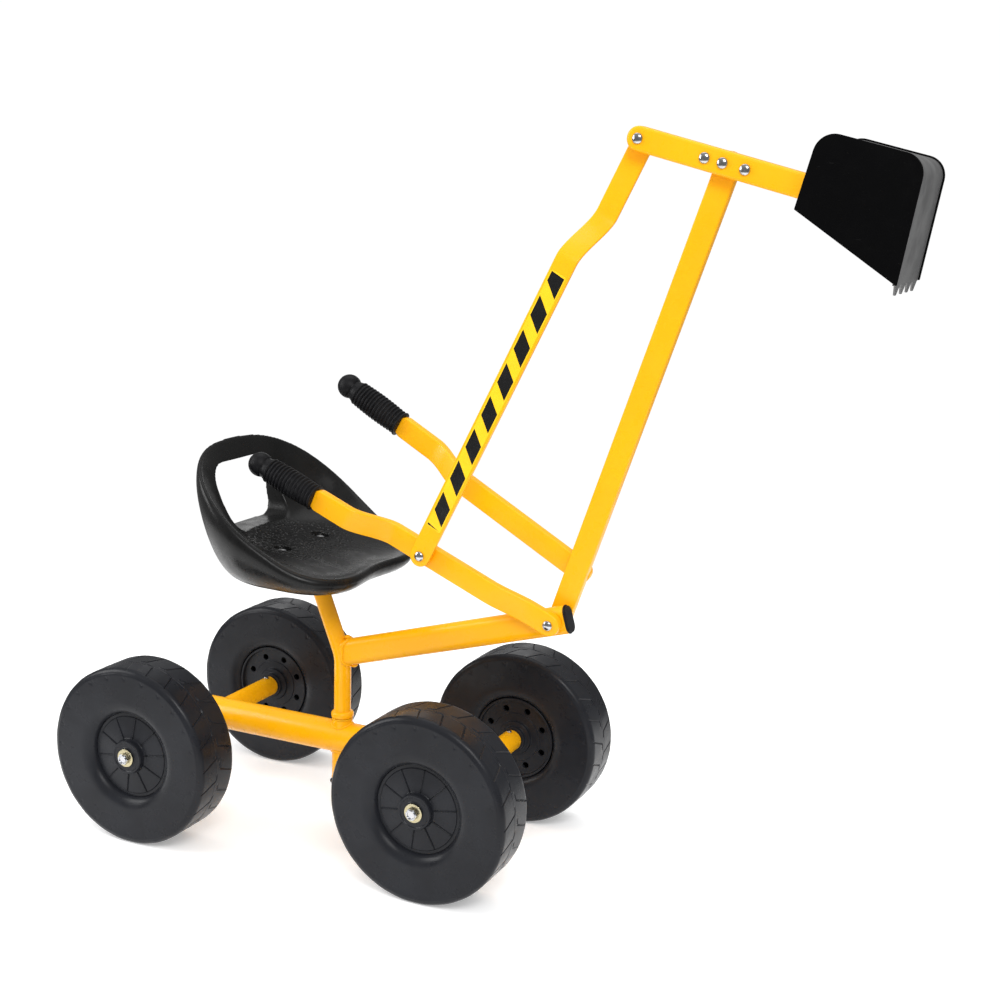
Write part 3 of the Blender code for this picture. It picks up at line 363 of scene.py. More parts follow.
def fillet(points, radii, steps=6, closed=True):
    """A 2-D outline whose corners are rounded by the radii given."""
    if isinstance(radii, float):
        radii = [radii] * len(points)
    made = []
    for i, (here, radius) in enumerate(zip(points, radii)):
        here = Vector(here)
        if radius <= 0.0 or (not closed and i in (0, len(points) - 1)):
            made.append(tuple(here))
            continue
        back = (Vector(points[i - 1]) - here).normalized()
        ahead = (Vector(points[(i + 1) % len(points)]) - here).normalized()
        half = back.angle(ahead) / 2
        if half > math.radians(88.5):
            made.append(tuple(here))
            continue
        centre = here + (back + ahead).normalized() * (radius / math.sin(half))
        first = here + back * (radius / math.tan(half)) - centre
        last = here + ahead * (radius / math.tan(half)) - centre
        for k in range(steps + 1):
            made.append(tuple(centre + first.slerp(last, k / steps).normalized() * radius))
    return made


def turned(profile, steps=64, closed=True, ripple=None):
    """A (radius, height) profile turned about Z. ripple(angles, height) scales the radius."""
    turns = circle(steps)
    rows = []
    for r, h in profile:
        grown = r * (ripple(turns, h) if ripple else 1.0)
        rows.append(np.stack((grown * np.cos(turns), grown * np.sin(turns), np.full(steps, h)), 1))
    return loop(rows, closed=closed, caps=False)


def plate(outline, thickness, edge=0.0004, steps=3):
    """A flat outline in XY, extruded equally to both sides along Z with rounded edges."""
    outline = np.asarray(outline, float)
    before, after = np.roll(outline, 1, 0), np.roll(outline, -1, 0)
    a, b = outline - before, after - outline
    a /= np.linalg.norm(a, axis=1)[:, None] + 1e-12
    b /= np.linalg.norm(b, axis=1)[:, None] + 1e-12
    area = 0.5 * np.sum(outline[:, 0] * after[:, 1] - after[:, 0] * outline[:, 1])
    turn = 1.0 if area > 0 else -1.0
    normal = np.stack((-(a[:, 1] + b[:, 1]), a[:, 0] + b[:, 0]), 1) * turn
    normal /= np.linalg.norm(normal, axis=1)[:, None] + 1e-12
    side = np.stack((-a[:, 1], a[:, 0]), 1) * turn
    reach = 1.0 / np.clip(np.sum(normal * side, axis=1), 0.45, 1.0)
    rows = []
    for sign in (-1, 1):
        turns = np.radians(np.linspace(90, 0, steps + 1) if sign < 0 else np.linspace(0, 90, steps + 1))
        for t in turns:
            flat = outline + normal * (reach * edge * (1 - math.cos(t)))[:, None]
            height = sign * (thickness / 2 - edge + edge * math.sin(t))
            rows.append(np.column_stack((flat, np.full(len(flat), height))))
    return loop(rows)


def on_axis(start, direction, up=(0.0, 0.0, 1.0)):
    """A matrix whose Z points along direction."""
    z = Vector(direction).normalized()
    x = Vector(up).cross(z)
    x = x.normalized() if x.length > 1e-6 else Vector((1.0, 0.0, 0.0))
    y = z.cross(x)
    return Matrix.Translation(start) @ Matrix((x, y, z)).transposed().to_4x4()


def in_plane(start, angle):
    """A matrix whose X points along the angle in the XZ plane and whose Y stays +Y."""
    return Matrix.Translation(start) @ spin(-angle, "Y")


def angle_to(a, b):
    return math.degrees(math.atan2(b.z - a.z, b.x - a.x))


def swept(path, radius, sides=20, closed=False):
    """A round bar along a path. radius may differ from point to point."""
    path = np.asarray(path, float)
    radius = np.broadcast_to(radius, len(path))
    if closed:
        ahead = np.roll(path, -1, 0) - np.roll(path, 1, 0)
    else:
        ahead = np.gradient(path, axis=0)
    ahead /= np.linalg.norm(ahead, axis=1)[:, None]
    side = np.cross(ahead[0], (0.31, 0.87, 0.37))
    rows = []
    turns = circle(sides)
    for here, along, size in zip(path, ahead, radius):
        side = side - along * np.dot(side, along)
        side /= np.linalg.norm(side)
        over = np.cross(along, side)
        rows.append(here + size * (np.outer(np.cos(turns), side) + np.outer(np.sin(turns), over)))
    return loop(rows, closed=closed)


def bead(path, size=0.0020, ripple=0.0022, closed=False):
    """A weld bead along a path: overlapping scales of the width given."""
    path = np.asarray(path, float)
    if closed:
        path = np.vstack((path, path[:1]))
    lengths = np.concatenate(([0.0], np.cumsum(np.linalg.norm(np.diff(path, axis=0), axis=1))))
    count = max(int(lengths[-1] / 0.0005), 12)
    at = np.linspace(0.0, lengths[-1], count, endpoint=not closed)
    fine = np.stack([np.interp(at, lengths, path[:, k]) for k in range(3)], 1)
    scale = (at / ripple) % 1.0
    wave = 1.0 + 0.20 * np.sqrt(np.clip(1.0 - scale, 0.0, 1.0)) + 0.09 * np.sin(at * 410.0 + 1.3)
    radius = size * wave * 0.86
    if not closed:
        radius *= np.clip(np.minimum(at, lengths[-1] - at) / (1.5 * size), 0.25, 1.0)
    return swept(fine, radius, 10, closed)


# ---- materials
PAINT = yellow_paint()
PLASTIC = wheel_plastic()
CAP = wheel_plastic("cap_satin", (0.020, 0.020, 0.022), (0.012, 0.012, 0.013))
NYLON = wheel_plastic("bush_satin", (0.86, 0.47, 0.012), (0.80, 0.42, 0.010))
RUBBER = grip_rubber()
ZINC = zinc()
STRAW_ZINC = zinc("zinc_straw", (0.46, 0.42, 0.28), (0.20, 0.36))
BLACK = bucket_black()
GREY = bucket_grey()
FILM_YELLOW = film("film_yellow", (1.0, 0.61, 0.010), (0.96, 0.56, 0.008))
FILM_BLACK = film("film_black", (0.004, 0.004, 0.004), (0.006, 0.006, 0.006))


# ---- wheels
WHEEL_R, HALF_W, HUB_R = 0.115, 0.035, 0.0545
CUTS, CUT_DEPTH, CUT_WIDTH = 24, 0.0012, 0.00085
PITCH = math.tau * WHEEL_R / CUTS
CUT_PATH = ((0.0, 0.0292), (0.0098, 0.0035), (0.0158, 0.0022))
RIBS, DRAINS = 10, 8
HEX_R = 0.0075
ROD_R = 0.0039
CLEARANCE = 0.0003


def tyre_profile():
    """The tyre's outside from the recess on one face, over the tread, to the recess on the other."""
    half = [(HUB_R + 0.0004, 0.0200), (HUB_R + 0.0004, 0.0230)]
    roll = arc(0.0, 0.0, 1.0, 180, 90, 16)
    half += [(HUB_R + 0.0174 + 0.0170 * x, 0.0232 + 0.0118 * z) for x, z in roll]
    flat = (0.076, 0.084, 0.092, 0.098, 0.1010, 0.1022, 0.1034, 0.1046, 0.1058, 0.1068)
    half += [(r, HALF_W) for r in flat]
    half += [(0.1080, 0.03485), (0.1088, 0.03435)]
    half += arc(0.1072, 0.0268, 0.0078, 70, 12, 7)
    tread = [0.0268, 0.0262, 0.0256, 0.0250, 0.0240, 0.0215, 0.0190, 0.0160, 0.0130, 0.0100, 0.0075, 0.0056]
    tread += [0.0048, 0.0042, 0.0036, 0.0030, 0.0024, 0.0018, 0.0012, 0.0006]
    half += [(WHEEL_R - 0.10 * z * z, z) for z in tread]
    return half + [(WHEEL_R, 0.0)] + [(r, -z) for r, z in reversed(half)]


def to_path(s, z, path):
    """The distance from points (s, z) to a path of straight stretches."""
    best = np.full(np.broadcast(s, z).shape, 1.0)
    for (s0, z0), (s1, z1) in zip(path, path[1:]):
        ds, dz = s1 - s0, z1 - z0
        share = np.clip(((s - s0) * ds + (z - z0) * dz) / (ds * ds + dz * dz), 0.0, 1.0)
        best = np.minimum(best, np.hypot(s - s0 - share * ds, z - z0 - share * dz))
    return best


def tyre():
    """The tread's hooked cuts lie in the mesh: its columns follow them round the wheel."""
    fine = np.array([-1.9, -1.3, -0.85, -0.42, 0.0, 0.42, 0.85, 1.3, 1.9]) * 0.001
    gaps = np.linspace(0.0034, PITCH / 2 - 0.0034, 4)
    columns = np.concatenate((fine, gaps, fine + PITCH / 2, gaps + PITCH / 2))
    s = np.concatenate([columns + i * PITCH for i in range(CUTS)])
    rows = []
    wave = 1.0 - 0.0017 * (0.5 + 0.5 * np.cos(s / PITCH * math.tau))
    for r, z in tyre_profile():
        lean = np.interp(abs(z), [0.0035, 0.0292], [CUT_PATH[1][0], 0.0])
        here = s + lean
        depth = np.zeros(len(s))
        for phase, sign in ((0.0, 1), (PITCH / 2, -1)):
            local = (here - phase + PITCH * 0.3) % PITCH - PITCH * 0.3
            if r > 0.110:
                away = to_path(local, z * sign, CUT_PATH)
                depth = np.maximum(depth, CUT_DEPTH * np.clip(1.25 - away / CUT_WIDTH, 0.0, 1.0) ** 0.7)
            if 0.1005 < r < 0.1075 and z * sign > 0.03:
                away = np.hypot((local) / 0.0030, (r - 0.1042) / 0.0026)
                ring = np.exp(-(((away - 0.75) / 0.25) ** 2)) * (r < 0.1052)
                depth = np.maximum(depth, 0.00045 * ring)
        inward = np.array([1.0, 0.0]) if abs(z) < HALF_W - 0.001 else np.array([0.0, np.sign(z)])
        line = 0.00022 if abs(z - 0.0036) < 0.0001 else 0.0
        grown = (r + line - depth * inward[0]) * (wave if r > 0.1085 else 1.0)
        turns = here / WHEEL_R
        rows.append(np.stack((grown * np.cos(turns), grown * np.sin(turns), z - depth * inward[1]), 1))
    return loop(rows, caps=False)


def hub_outside():
    """The ribbed hub in the wheel's outer recess."""
    face = HALF_W
    floor = face - 0.0115
    outline = [(0.0046, face - 0.0005), (0.0128, face - 0.0005)]
    outline += [(0.0136, face - 0.0011), (0.0178, face - 0.0011)]
    outline += [(0.0186, face - 0.0003), (0.0206, face - 0.0003)]
    outline += [(0.0215, face - 0.0020), (0.0217, floor + 0.0022)]
    outline += [(0.0500, floor + 0.0006), (0.0508, floor - 0.0004)]
    outline += [(HUB_R, floor - 0.0004), (HUB_R, floor - 0.004)]
    outline += [(0.0110, floor - 0.004), (0.0110, -0.0175), (0.0046, -0.0175)]
    radii = [0.0003, 0.0003, 0.0003, 0.0003, 0.0005, 0.0006, 0.0010, 0.0022, 0.0005, 0.0003, 0.0]
    parts = [turned(fillet(outline, radii + [0.0] * 4, 4), 96)]
    half = 0.0300 / 2
    rib = plate(fillet(rectangle(half, 0.0007), 0.0003, 2), 0.0020, 0.0006, 3)
    rib = moved(rib, shift(0.0205 + half, 0.0, floor + 0.0016) @ Matrix.Rotation(0.056, 4, "Y"))
    for i in range(RIBS):
        parts.append(moved(rib, Matrix.Rotation(math.tau * (i + 0.25) / RIBS, 4, "Z")))
    return together(*parts)


def hub_inside():
    """The inner disc and its stepped boss. wheels() cuts the eight drain holes into it."""
    face = -HALF_W
    floor = face + 0.0125
    outline = [(0.0046, floor + 0.0040), (HUB_R, floor + 0.0040), (HUB_R, floor - 0.0060)]
    outline += [(0.0515, floor - 0.0060), (0.0508, floor), (0.0330, floor), (0.0326, floor - 0.0012)]
    outline += [(0.0228, floor - 0.0014), (0.0223, floor - 0.0056), (0.0168, floor - 0.0058)]
    outline += [(0.0164, face + 0.0012), (0.0110, face + 0.0009), (0.0046, face + 0.0006)]
    radii = [0.0, 0.0005, 0.0008, 0.0008, 0.0018, 0.0006, 0.0006]
    radii += [0.0012, 0.0008, 0.0012, 0.0008, 0.0004, 0.0003]
    return turned(fillet(outline, radii, 4), 96)


def cut_holes(mesh, tools):
    """Cuts closed shapes from a mesh and gives back a new one."""
    thing = add("to_cut", mesh)
    helpers = []
    for i, part in enumerate(tools):
        name = f"tool_{i}"
        helper = add(name, mesh_of(name, part, mesh.materials[0]))
        change = thing.modifiers.new(helper.name, "BOOLEAN")
        change.operation = "DIFFERENCE"
        change.solver = "EXACT"
        change.object = helper
        helpers.append(helper)
    made = evaluated(thing)
    for each in (thing, *helpers):
        bpy.data.objects.remove(each, do_unlink=True)
    made.shade_smooth()
    made.set_sharp_from_angle(angle=math.radians(38))
    return made


def thread(radius, low, high, pitch=0.00125):
    """A threaded rod along Z."""
    rings = max(int((high - low) / (pitch / 4)), 8)
    profile = [(0.0, low), (radius * 0.8, low)]
    for i in range(rings + 1):
        h = low + 0.0004 + (high - low - 0.0008) * i / rings
        profile.append((radius - 0.00028 * (0.5 - 0.5 * math.cos(math.tau * h / pitch)), h))
    profile += [(radius * 0.8, high), (0.0, high)]
    return turned(profile, 32, closed=False)


def nut(radius=HEX_R, height=0.0065, bore=0.0042):
    """A hexagon lock nut on Z = 0, with its chamfer and nylon collar."""
    hexagon = np.array(ellipse(radius, radius, 6))
    ring = np.concatenate([
        a + (b - a) * np.arange(8)[:, None] / 8 for a, b in zip(hexagon, np.roll(hexagon, -1, 0))
    ])
    reach = np.linalg.norm(ring, axis=1)
    rows = []
    inner = radius * 0.866
    for drop, h in ((1.0, 0.0), (0.0, 0.0008), (0.0, height * 0.66), (0.7, height * 0.74)):
        limit = np.minimum(reach, inner * 1.01 + (1.0 - drop) * (radius - inner))
        flat = ring * (limit / reach)[:, None]
        rows.append(np.column_stack((flat, np.full(len(flat), h))))
    low = height * 0.6
    collar = [(bore, low), (radius * 0.80, low), (radius * 0.78, height), (bore, height - 0.0006)]
    return together(loop(rows), turned(fillet(collar, 0.0006, 4), 40))


def washer(radius, bore, thickness):
    outline = [(bore, 0.0), (radius, 0.0), (radius, thickness), (bore, thickness)]
    return turned(fillet(outline, 0.00035, 3), 64)


def dome(radius=0.0062, height=0.0038):
    """A round bolt head on Z = 0, rising along +Z."""
    skirt = [(0.0, 0.0), (radius * 0.97, 0.0), (radius, 0.0004)]
    turns = np.radians(np.linspace(0, 90, 12))
    top = [(radius * math.cos(t), 0.0006 + (height - 0.0006) * math.sin(t)) for t in turns]
    return turned(skirt + top, 48, closed=False)


def wheels():
    tyre_mesh = mesh_of("tyre", tyre(), PLASTIC, 32)
    outside = mesh_of("hub_outside", hub_outside(), PLASTIC)
    inside = mesh_of("hub_inside", hub_inside(), PLASTIC)
    drain = turned([(0.0, -0.008), (0.0044, -0.008), (0.0044, 0.0080), (0.0, 0.0080)], 20, closed=False)
    holes = []
    for i in range(DRAINS):
        turn = math.tau * (i + 0.5) / DRAINS
        spot = shift(0.0400 * math.cos(turn), 0.0400 * math.sin(turn), -HALF_W + 0.0125)
        holes.append(moved(drain, spot))
    inside = cut_holes(inside, holes)
    ring = mesh_of("axle_washer", washer(0.0115, 0.0043, 0.0014), STRAW_ZINC)
    lock = mesh_of("axle_nut", nut(), ZINC)
    for end in ENDS:
        for side, sign in SIDES:
            which = f"{end}_{side}"
            centre = JOINT[f"spin_{which}"]
            turn = Matrix.Translation(centre) @ spin(-90 * sign, "X")
            body = f"wheel_{which}"
            for name, mesh, node in (
                ("tyre", tyre_mesh, body),
                ("hub_face", outside, f"hub_outer_{which}"),
                ("hub_back", inside, f"hub_inner_{which}"),
            ):
                place(f"{name}_{which}", mesh, body, node, turn, True)
            for name, mesh in (("washer", ring), ("nut", lock)):
                node = f"axle_{name}_{which}"
                low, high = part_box(node)
                out = on_axis((centre.x, low.y if sign > 0 else high.y, centre.z), (0, sign, 0))
                place(f"{name}_{which}", mesh, "base", node, out, True)


# ---- base frame
AXLE_TUBE_R, MAIN_R, SLEEVE_R, POST_R = 0.0135, 0.0205, 0.0134, 0.0110
FRAME_WELD = 0.0019


def tube(radius, low, high, edge=0.0008, steps=64, bore=None):
    """A tube or bar along Z with rounded ends, open down to 8 mm if it has a bore."""
    outline = [(0.0, low), (radius, low), (radius, high), (0.0, high)]
    if bore:
        outline = [(0.0, low + 0.008), (bore, low + 0.008), (bore, low), (radius, low), (radius, high)]
        outline += [(bore, high), (bore, high - 0.008), (0.0, high - 0.008)]
        edges = [0.0, 0.0, edge / 2, edge / 2, edge / 2, edge / 2, 0.0, 0.0]
        return turned(fillet(outline, edges, 3, closed=False), steps, closed=False)
    return turned(fillet(outline, [0.0, edge, edge, 0.0], 3, closed=False), steps, closed=False)


def saddle(centre, sign, clip):
    """Where an axle tube goes into the main tube's side, up to the main tube's end."""
    path = []
    for turn in np.radians(np.linspace(-180, 180, 121)):
        x, z = AXLE_TUBE_R * math.cos(turn), AXLE_TUBE_R * math.sin(turn)
        if clip * x <= 0.0030:
            path.append((centre.x + x, sign * math.sqrt(MAIN_R**2 - z**2), centre.z + z))
    if clip < 0:
        return path
    half = len(path) // 2
    return path[half:] + path[1:half]


def screw(name):
    """A small cross-slotted screw with its head on Z = 0."""
    head = fillet([(0.0, 0.0), (0.0034, 0.0), (0.0034, 0.0010), (0.0026, 0.0019), (0.0, 0.0019)], 0.0005, 4)
    solid = together(
        turned([(0.0, 0.0)] + head[1:], 32, closed=False), tube(0.0017, -0.0070, 0.0001, 0.0002, 20)
    )
    slot = plate(rectangle(0.0017, 0.0004), 0.002, 0.0001, 1)
    turns = (0.4, 0.4 + math.pi / 2)
    slots = [moved(slot, shift(0, 0, 0.0021) @ Matrix.Rotation(turn, 4, "Z")) for turn in turns]
    return cut_holes(mesh_of(name, solid, ZINC), slots)


def base():
    low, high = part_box("chassis_frame")
    front, rear = JOINT["spin_front_right"], JOINT["spin_rear_right"]
    axle_z = front.z
    swivel_x = JOINT["swivel"].x
    parts = [moved(tube(MAIN_R, low.x, high.x), on_axis((0.0, 0.0, axle_z), (1, 0, 0)))]
    for middle, clip in ((front, 1), (rear, -1)):
        half = abs(middle.y) - HALF_W - CLEARANCE
        centre = Vector((middle.x, 0.0, axle_z))
        parts.append(moved(tube(AXLE_TUBE_R, -half, half), on_axis(centre, (0, 1, 0))))
        for sign in (-1, 1):
            parts.append(bead(saddle(centre, sign, clip), FRAME_WELD))
    sleeve = shift(swivel_x, 0.0, 0.0)
    parts.append(moved(tube(SLEEVE_R, low.z, high.z, 0.0010, 64, 0.0121), sleeve))
    for sign in (-1, 1):
        ring = []
        for x, y in ellipse(SLEEVE_R, SLEEVE_R, 72):
            ring.append((swivel_x + x, y, axle_z + sign * math.sqrt(MAIN_R**2 - y**2)))
        parts.append(bead(ring, FRAME_WELD, closed=True))
    put("base_tubes", together(*parts), PAINT, "base", "chassis_frame")
    for end, middle in (("front", front), ("rear", rear)):
        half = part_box(f"{end}_axle")[1].y
        across = on_axis((middle.x, 0, axle_z), (0, 1, 0))
        put(f"{end}_rod", thread(ROD_R, -half, half), ZINC, "base", f"{end}_axle", across)
        for side, _ in SIDES:
            node = f"axle_screw_{end}_{side}"
            place(f"screw_{end}_{side}", screw(node), "base", node, over(node, -0.0019))
    for node in ("swivel_bush_top", "swivel_bush_bottom"):
        a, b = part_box(node)
        low, high = (b.z - 0.0017, b.z) if node.endswith("top") else (a.z, a.z + 0.0020)
        flange = [(0.0113, low), (0.0138, low), (0.0138, high), (0.0113, high)]
        liner = [(0.0113, a.z), (0.0118, a.z), (0.0118, b.z), (0.0113, b.z)]
        shape = together(turned(fillet(flange, 0.0005, 3), 64), turned(liner, 64))
        put(f"{node}_ring", shape, NYLON, "base", node, sleeve)


# ---- seat frame
BOOM_TILT = 16.4
POST_LEAN = 21.8
BOOM_H, BOOM_W = 0.035, 0.020
def flat_tube(height, thickness, start, end, bore=None, corner=None, steps=10):
    """A flat-oval tube along X, its height on Z. A bore (the wall's thickness) opens the front end."""
    half = thickness / 2
    corner = corner or half

    def ring(inset, x):
        points = []
        for cy, cz, a in ((1, 1, 0), (-1, 1, 90), (-1, -1, 180), (1, -1, 270)):
            middle = cy * (half - corner), cz * (height / 2 - corner)
            points += [(x, y, z) for y, z in arc(*middle, corner - inset, a, a + 90, steps)]
        return points

    rows = [ring(0.0006, start), ring(0.0, start + 0.0006), ring(0.0, end - 0.0005), ring(0.0004, end)]
    if bore:
        rows += [ring(bore, end), ring(bore, end - 0.010)]
    return loop(rows)


def post_path(low, top):
    """The seat post's middle line: upright in the sleeve, then leaning back to the seat."""
    lean = math.radians(POST_LEAN)
    bend_z, bend_r = 0.226, 0.055
    start = bend_z - bend_r * math.tan(lean / 2)
    path = [(0.0, 0.0, z) for z in np.linspace(low, start, 12)]
    for i in range(1, 17):
        turn = lean * i / 16
        path.append((bend_r * (math.cos(turn) - 1.0), 0.0, start + bend_r * math.sin(turn)))
    x, _, z = path[-1]
    for share in np.linspace(0.1, 1.0, 8):
        path.append((x - math.tan(lean) * (top - z) * share, 0.0, z + (top - z) * share))
    return path


def uneven(turns, h):
    """The hand-laid collar's waviness."""
    return 1.0 + 0.010 * np.sin(turns * 3.0 + 0.7) + 0.006 * np.sin(turns * 7.0 + h * 900.0)


def upper_frame():
    pin = JOINT["arm_lift"]
    swivel_x = JOINT["swivel"].x
    low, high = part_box("upper_frame")
    run = pin.x - swivel_x
    tilt = math.radians(BOOM_TILT)
    root = Vector((swivel_x, 0.0, pin.z - run * math.tan(tilt)))
    reach = run / math.cos(tilt) + 0.0165
    top = high.z - 0.0015
    post = [(swivel_x + x, y, z) for x, y, z in post_path(low.z, top - 0.001)]
    foot = shift(swivel_x, 0, 0)
    core, bulge, foot_z, crown_z = POST_R - 0.001, 0.0147, 0.1428, 0.1520
    corners = [(core, foot_z), (bulge, foot_z), (bulge, crown_z), (core, crown_z)]
    collar = fillet(corners, [0.0, 0.0030, 0.0040, 0.0], 8)
    boom = in_plane(root, BOOM_TILT)
    parts = [
        swept(post, POST_R, 48),
        moved(turned(collar, 72, ripple=uneven), foot),
        moved(flat_tube(BOOM_H, BOOM_W, 0.0, reach, 0.0015), boom),
    ]
    joint = []
    for y, z in fillet(rectangle(BOOM_W / 2, BOOM_H / 2), 0.0098, 10):
        s = (math.sqrt(POST_R**2 - min(abs(y), BOOM_W / 2) ** 2) + z * math.sin(tilt)) / math.cos(tilt)
        joint.append(boom @ Vector((s, y, z)))
    parts.append(bead(joint, 0.0021, closed=True))
    for z, size in ((-0.0190, 0.0022), (0.0196, 0.0030)):
        along = np.linspace(-0.0035, 0.0065, 9)
        blob = [boom @ Vector((0.0112 + t, 0.0, z * (1.0 - 2.2 * t))) for t in along]
        parts.append(swept(blob, size * np.sin(np.linspace(0.35, 2.8, 9)), 14))
    bolt_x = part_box("seat_bolt_right")
    bolt_x = (bolt_x[0].x + bolt_x[1].x) / 2
    outline = fillet(rectangle(0.030, 0.056), 0.009, 6)
    parts.append(moved(plate(outline, 0.003, 0.0006), shift(bolt_x + 0.006, 0.0, top)))
    ring = []
    for turn in circle(48):
        offset = Vector((0.0113 * math.cos(turn) / 0.93, 0.0113 * math.sin(turn), -0.0020))
        ring.append(Vector(post[-1]) + offset)
    parts.append(bead(ring, 0.0017, closed=True))
    put("upper_tubes", together(*parts), PAINT, "seat_frame", "upper_frame")
    start = reach + CLEARANCE
    lid = flat_tube(0.0360, 0.0201, start, start + 0.0016, corner=0.0100)
    pebble_glint = flat_tube(0.0325, 0.0170, start + 0.001, start + 0.0045, corner=0.0084)
    stem = flat_tube(0.0314, 0.0164, start - 0.009, start + 0.001, corner=0.0080)
    cap = together(*(moved(each, boom) for each in (lid, pebble_glint, stem)))
    put("end_cap", cap, CAP, "seat_frame", "boom_end_cap")
    a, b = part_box("swivel_washer")
    ring = washer(0.0160, 0.0044, b.z - a.z)
    put("post_washer", ring, ZINC, "seat_frame", "swivel_washer", shift(swivel_x, 0, a.z))
    a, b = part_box("swivel_bolt")
    head = moved(nut(HEX_R, 0.0062, 0.0001), shift(0, 0, a.z) @ shift(0, 0, 0.0055) @ spin(180, "X"))
    shape = together(head, thread(ROD_R, a.z + 0.002, b.z))
    put("post_bolt", shape, ZINC, "seat_frame", "swivel_bolt", foot)


# ---- seat
SEAT_HALF_L, SEAT_HALF_W = 0.118, 0.142
PAN_Z, BASE_Z = 0.3715, 0.3323
SEAT_RINGS = (
    (0.30, 0.00, 0.000, PAN_Z), (0.58, 0.06, 0.001, PAN_Z),
    (0.81, 0.42, 0.002, PAN_Z), (0.93, 0.88, 0.002, PAN_Z),
    (0.99, 1.03, 0.002, PAN_Z), (1.022, 0.93, -0.004, BASE_Z), (1.00, 0.74, -0.007, BASE_Z),
    (0.90, 0.37, -0.008, BASE_Z), (0.71, 0.01, -0.006, BASE_Z), (0.40, 0.00, 0.000, BASE_Z),
)


def seat_rim(turn):
    """The seat's rim at an angle seen from above, 0 at its front: x from its middle, y and height."""
    c, s = math.cos(turn), math.sin(turn)
    squareness = (0.55, 0.62) if c > 0.0 else (1.05, 0.80)
    x = SEAT_HALF_L * math.copysign(abs(c) ** squareness[0], c)
    back = (SEAT_HALF_L - x) / (2 * SEAT_HALF_L)
    y = SEAT_HALF_W * math.copysign(abs(s) ** squareness[1], s) * (1.0 + 0.29 * (back - 0.5))
    x -= 0.015 * math.exp(-((y / 0.050) ** 2)) * max(c, 0.0)
    return x, y, 0.3526 - 0.0055 * back + 0.2575 * back**2 - 0.1062 * back**3


def seat():
    """A softened shell cut for its handle hole and bolt pockets, then remeshed so its edges roll."""
    middle_x = JOINT["spin_front_right"].x - 0.2535
    spokes = 40
    rows = []
    for share, up, lift, level in SEAT_RINGS:
        row = []
        for k in range(spokes):
            x, y, z = seat_rim(math.tau * k / spokes)
            front = (SEAT_HALF_L + x) / (2 * SEAT_HALF_L)
            floor = level - (0.030 * front**3 * share if level == PAN_Z else 0.0)
            row.append((middle_x + x * share, y * share, floor + (z - floor) * up + lift))
        rows.append(row)
    points, faces = loop(rows, caps=False)
    count = len(points)
    points = np.vstack((points, [(middle_x, 0.0, PAN_Z), (middle_x, 0.0, BASE_Z)]))
    last = count - spokes
    faces += [[(k + 1) % spokes, k, count] for k in range(spokes)]
    faces += [[last + k, last + (k + 1) % spokes, count + 1] for k in range(spokes)]
    bolts = [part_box(f"seat_bolt_{side}") for side, _ in SIDES]
    pan = Vector((middle_x - 0.004, 0.0, PAN_Z))
    look = seat_plastic("seat_satin", pan, (0.064, 0.080))
    thing = add("seat_shell", mesh_of("seat_shell", (points, faces), look))
    thing.modifiers.new("soften", "SUBSURF").levels = 3
    fine = evaluated(thing)
    corners = [(-0.067, 0.469), (0.067, 0.469), (0.060, 0.386), (-0.060, 0.386)]
    hole = plate(fillet(corners, [0.026, 0.026, 0.020, 0.020], 8), 0.12, 0.001)
    tools = [moved(hole, shift(middle_x - SEAT_HALF_L + 0.020, 0.0, 0.0) @ spin(90, "Z") @ spin(90, "X"))]
    pocket = moved(plate(ellipse(0.0125, 0.0100, 40), 0.060, 0.0015), shift(0, 0, 0.030))
    for a, b in bolts:
        tools.append(moved(pocket, shift((a.x + b.x) / 2, (a.y + b.y) / 2, BASE_Z + 0.0305)))
    plate_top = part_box("upper_frame")[1].z + CLEARANCE
    recess = plate(fillet(rectangle(0.033, 0.059), 0.010, 5), 0.02, 0.001)
    bolt_x = (bolts[0][0].x + bolts[0][1].x) / 2
    tools.append(moved(recess, shift(bolt_x + 0.006, 0.0, plate_top - 0.010)))
    thing.modifiers.clear()
    thing.data = cut_holes(fine, tools)
    grid = thing.modifiers.new("remesh", "REMESH")
    grid.mode = "VOXEL"
    grid.voxel_size = 0.0017
    grid.adaptivity = 0.0
    roll = thing.modifiers.new("roll", "SMOOTH")
    roll.factor = 0.5
    roll.iterations = 9
    done = evaluated(thing)
    bpy.data.objects.remove(thing, do_unlink=True)
    done.materials.clear()
    done.materials.append(look)
    done.shade_smooth()
    place("seat_moulding", done, "seat_frame", "seat")
    head = together(dome(0.0062, 0.0036), tube(0.003, -0.020, 0.0002, 0.0002, 24))
    head = mesh_of("seat_bolt", head, ZINC)
    for side, _ in SIDES:
        node = f"seat_bolt_{side}"
        place(f"seat_bolt_head_{side}", head, "seat_frame", node, over(node, 0.0030), True)


# ---- bars
BAR_W, BAR_T = 0.0275, 0.012
LEFT_ANGLE = 150.6
DIPPER_END = 0.1010


def ease(x, start, end, low, high):
    share = np.clip((x - start) / (end - start), 0.0, 1.0)
    return low + (high - low) * share * share * (3.0 - 2.0 * share)


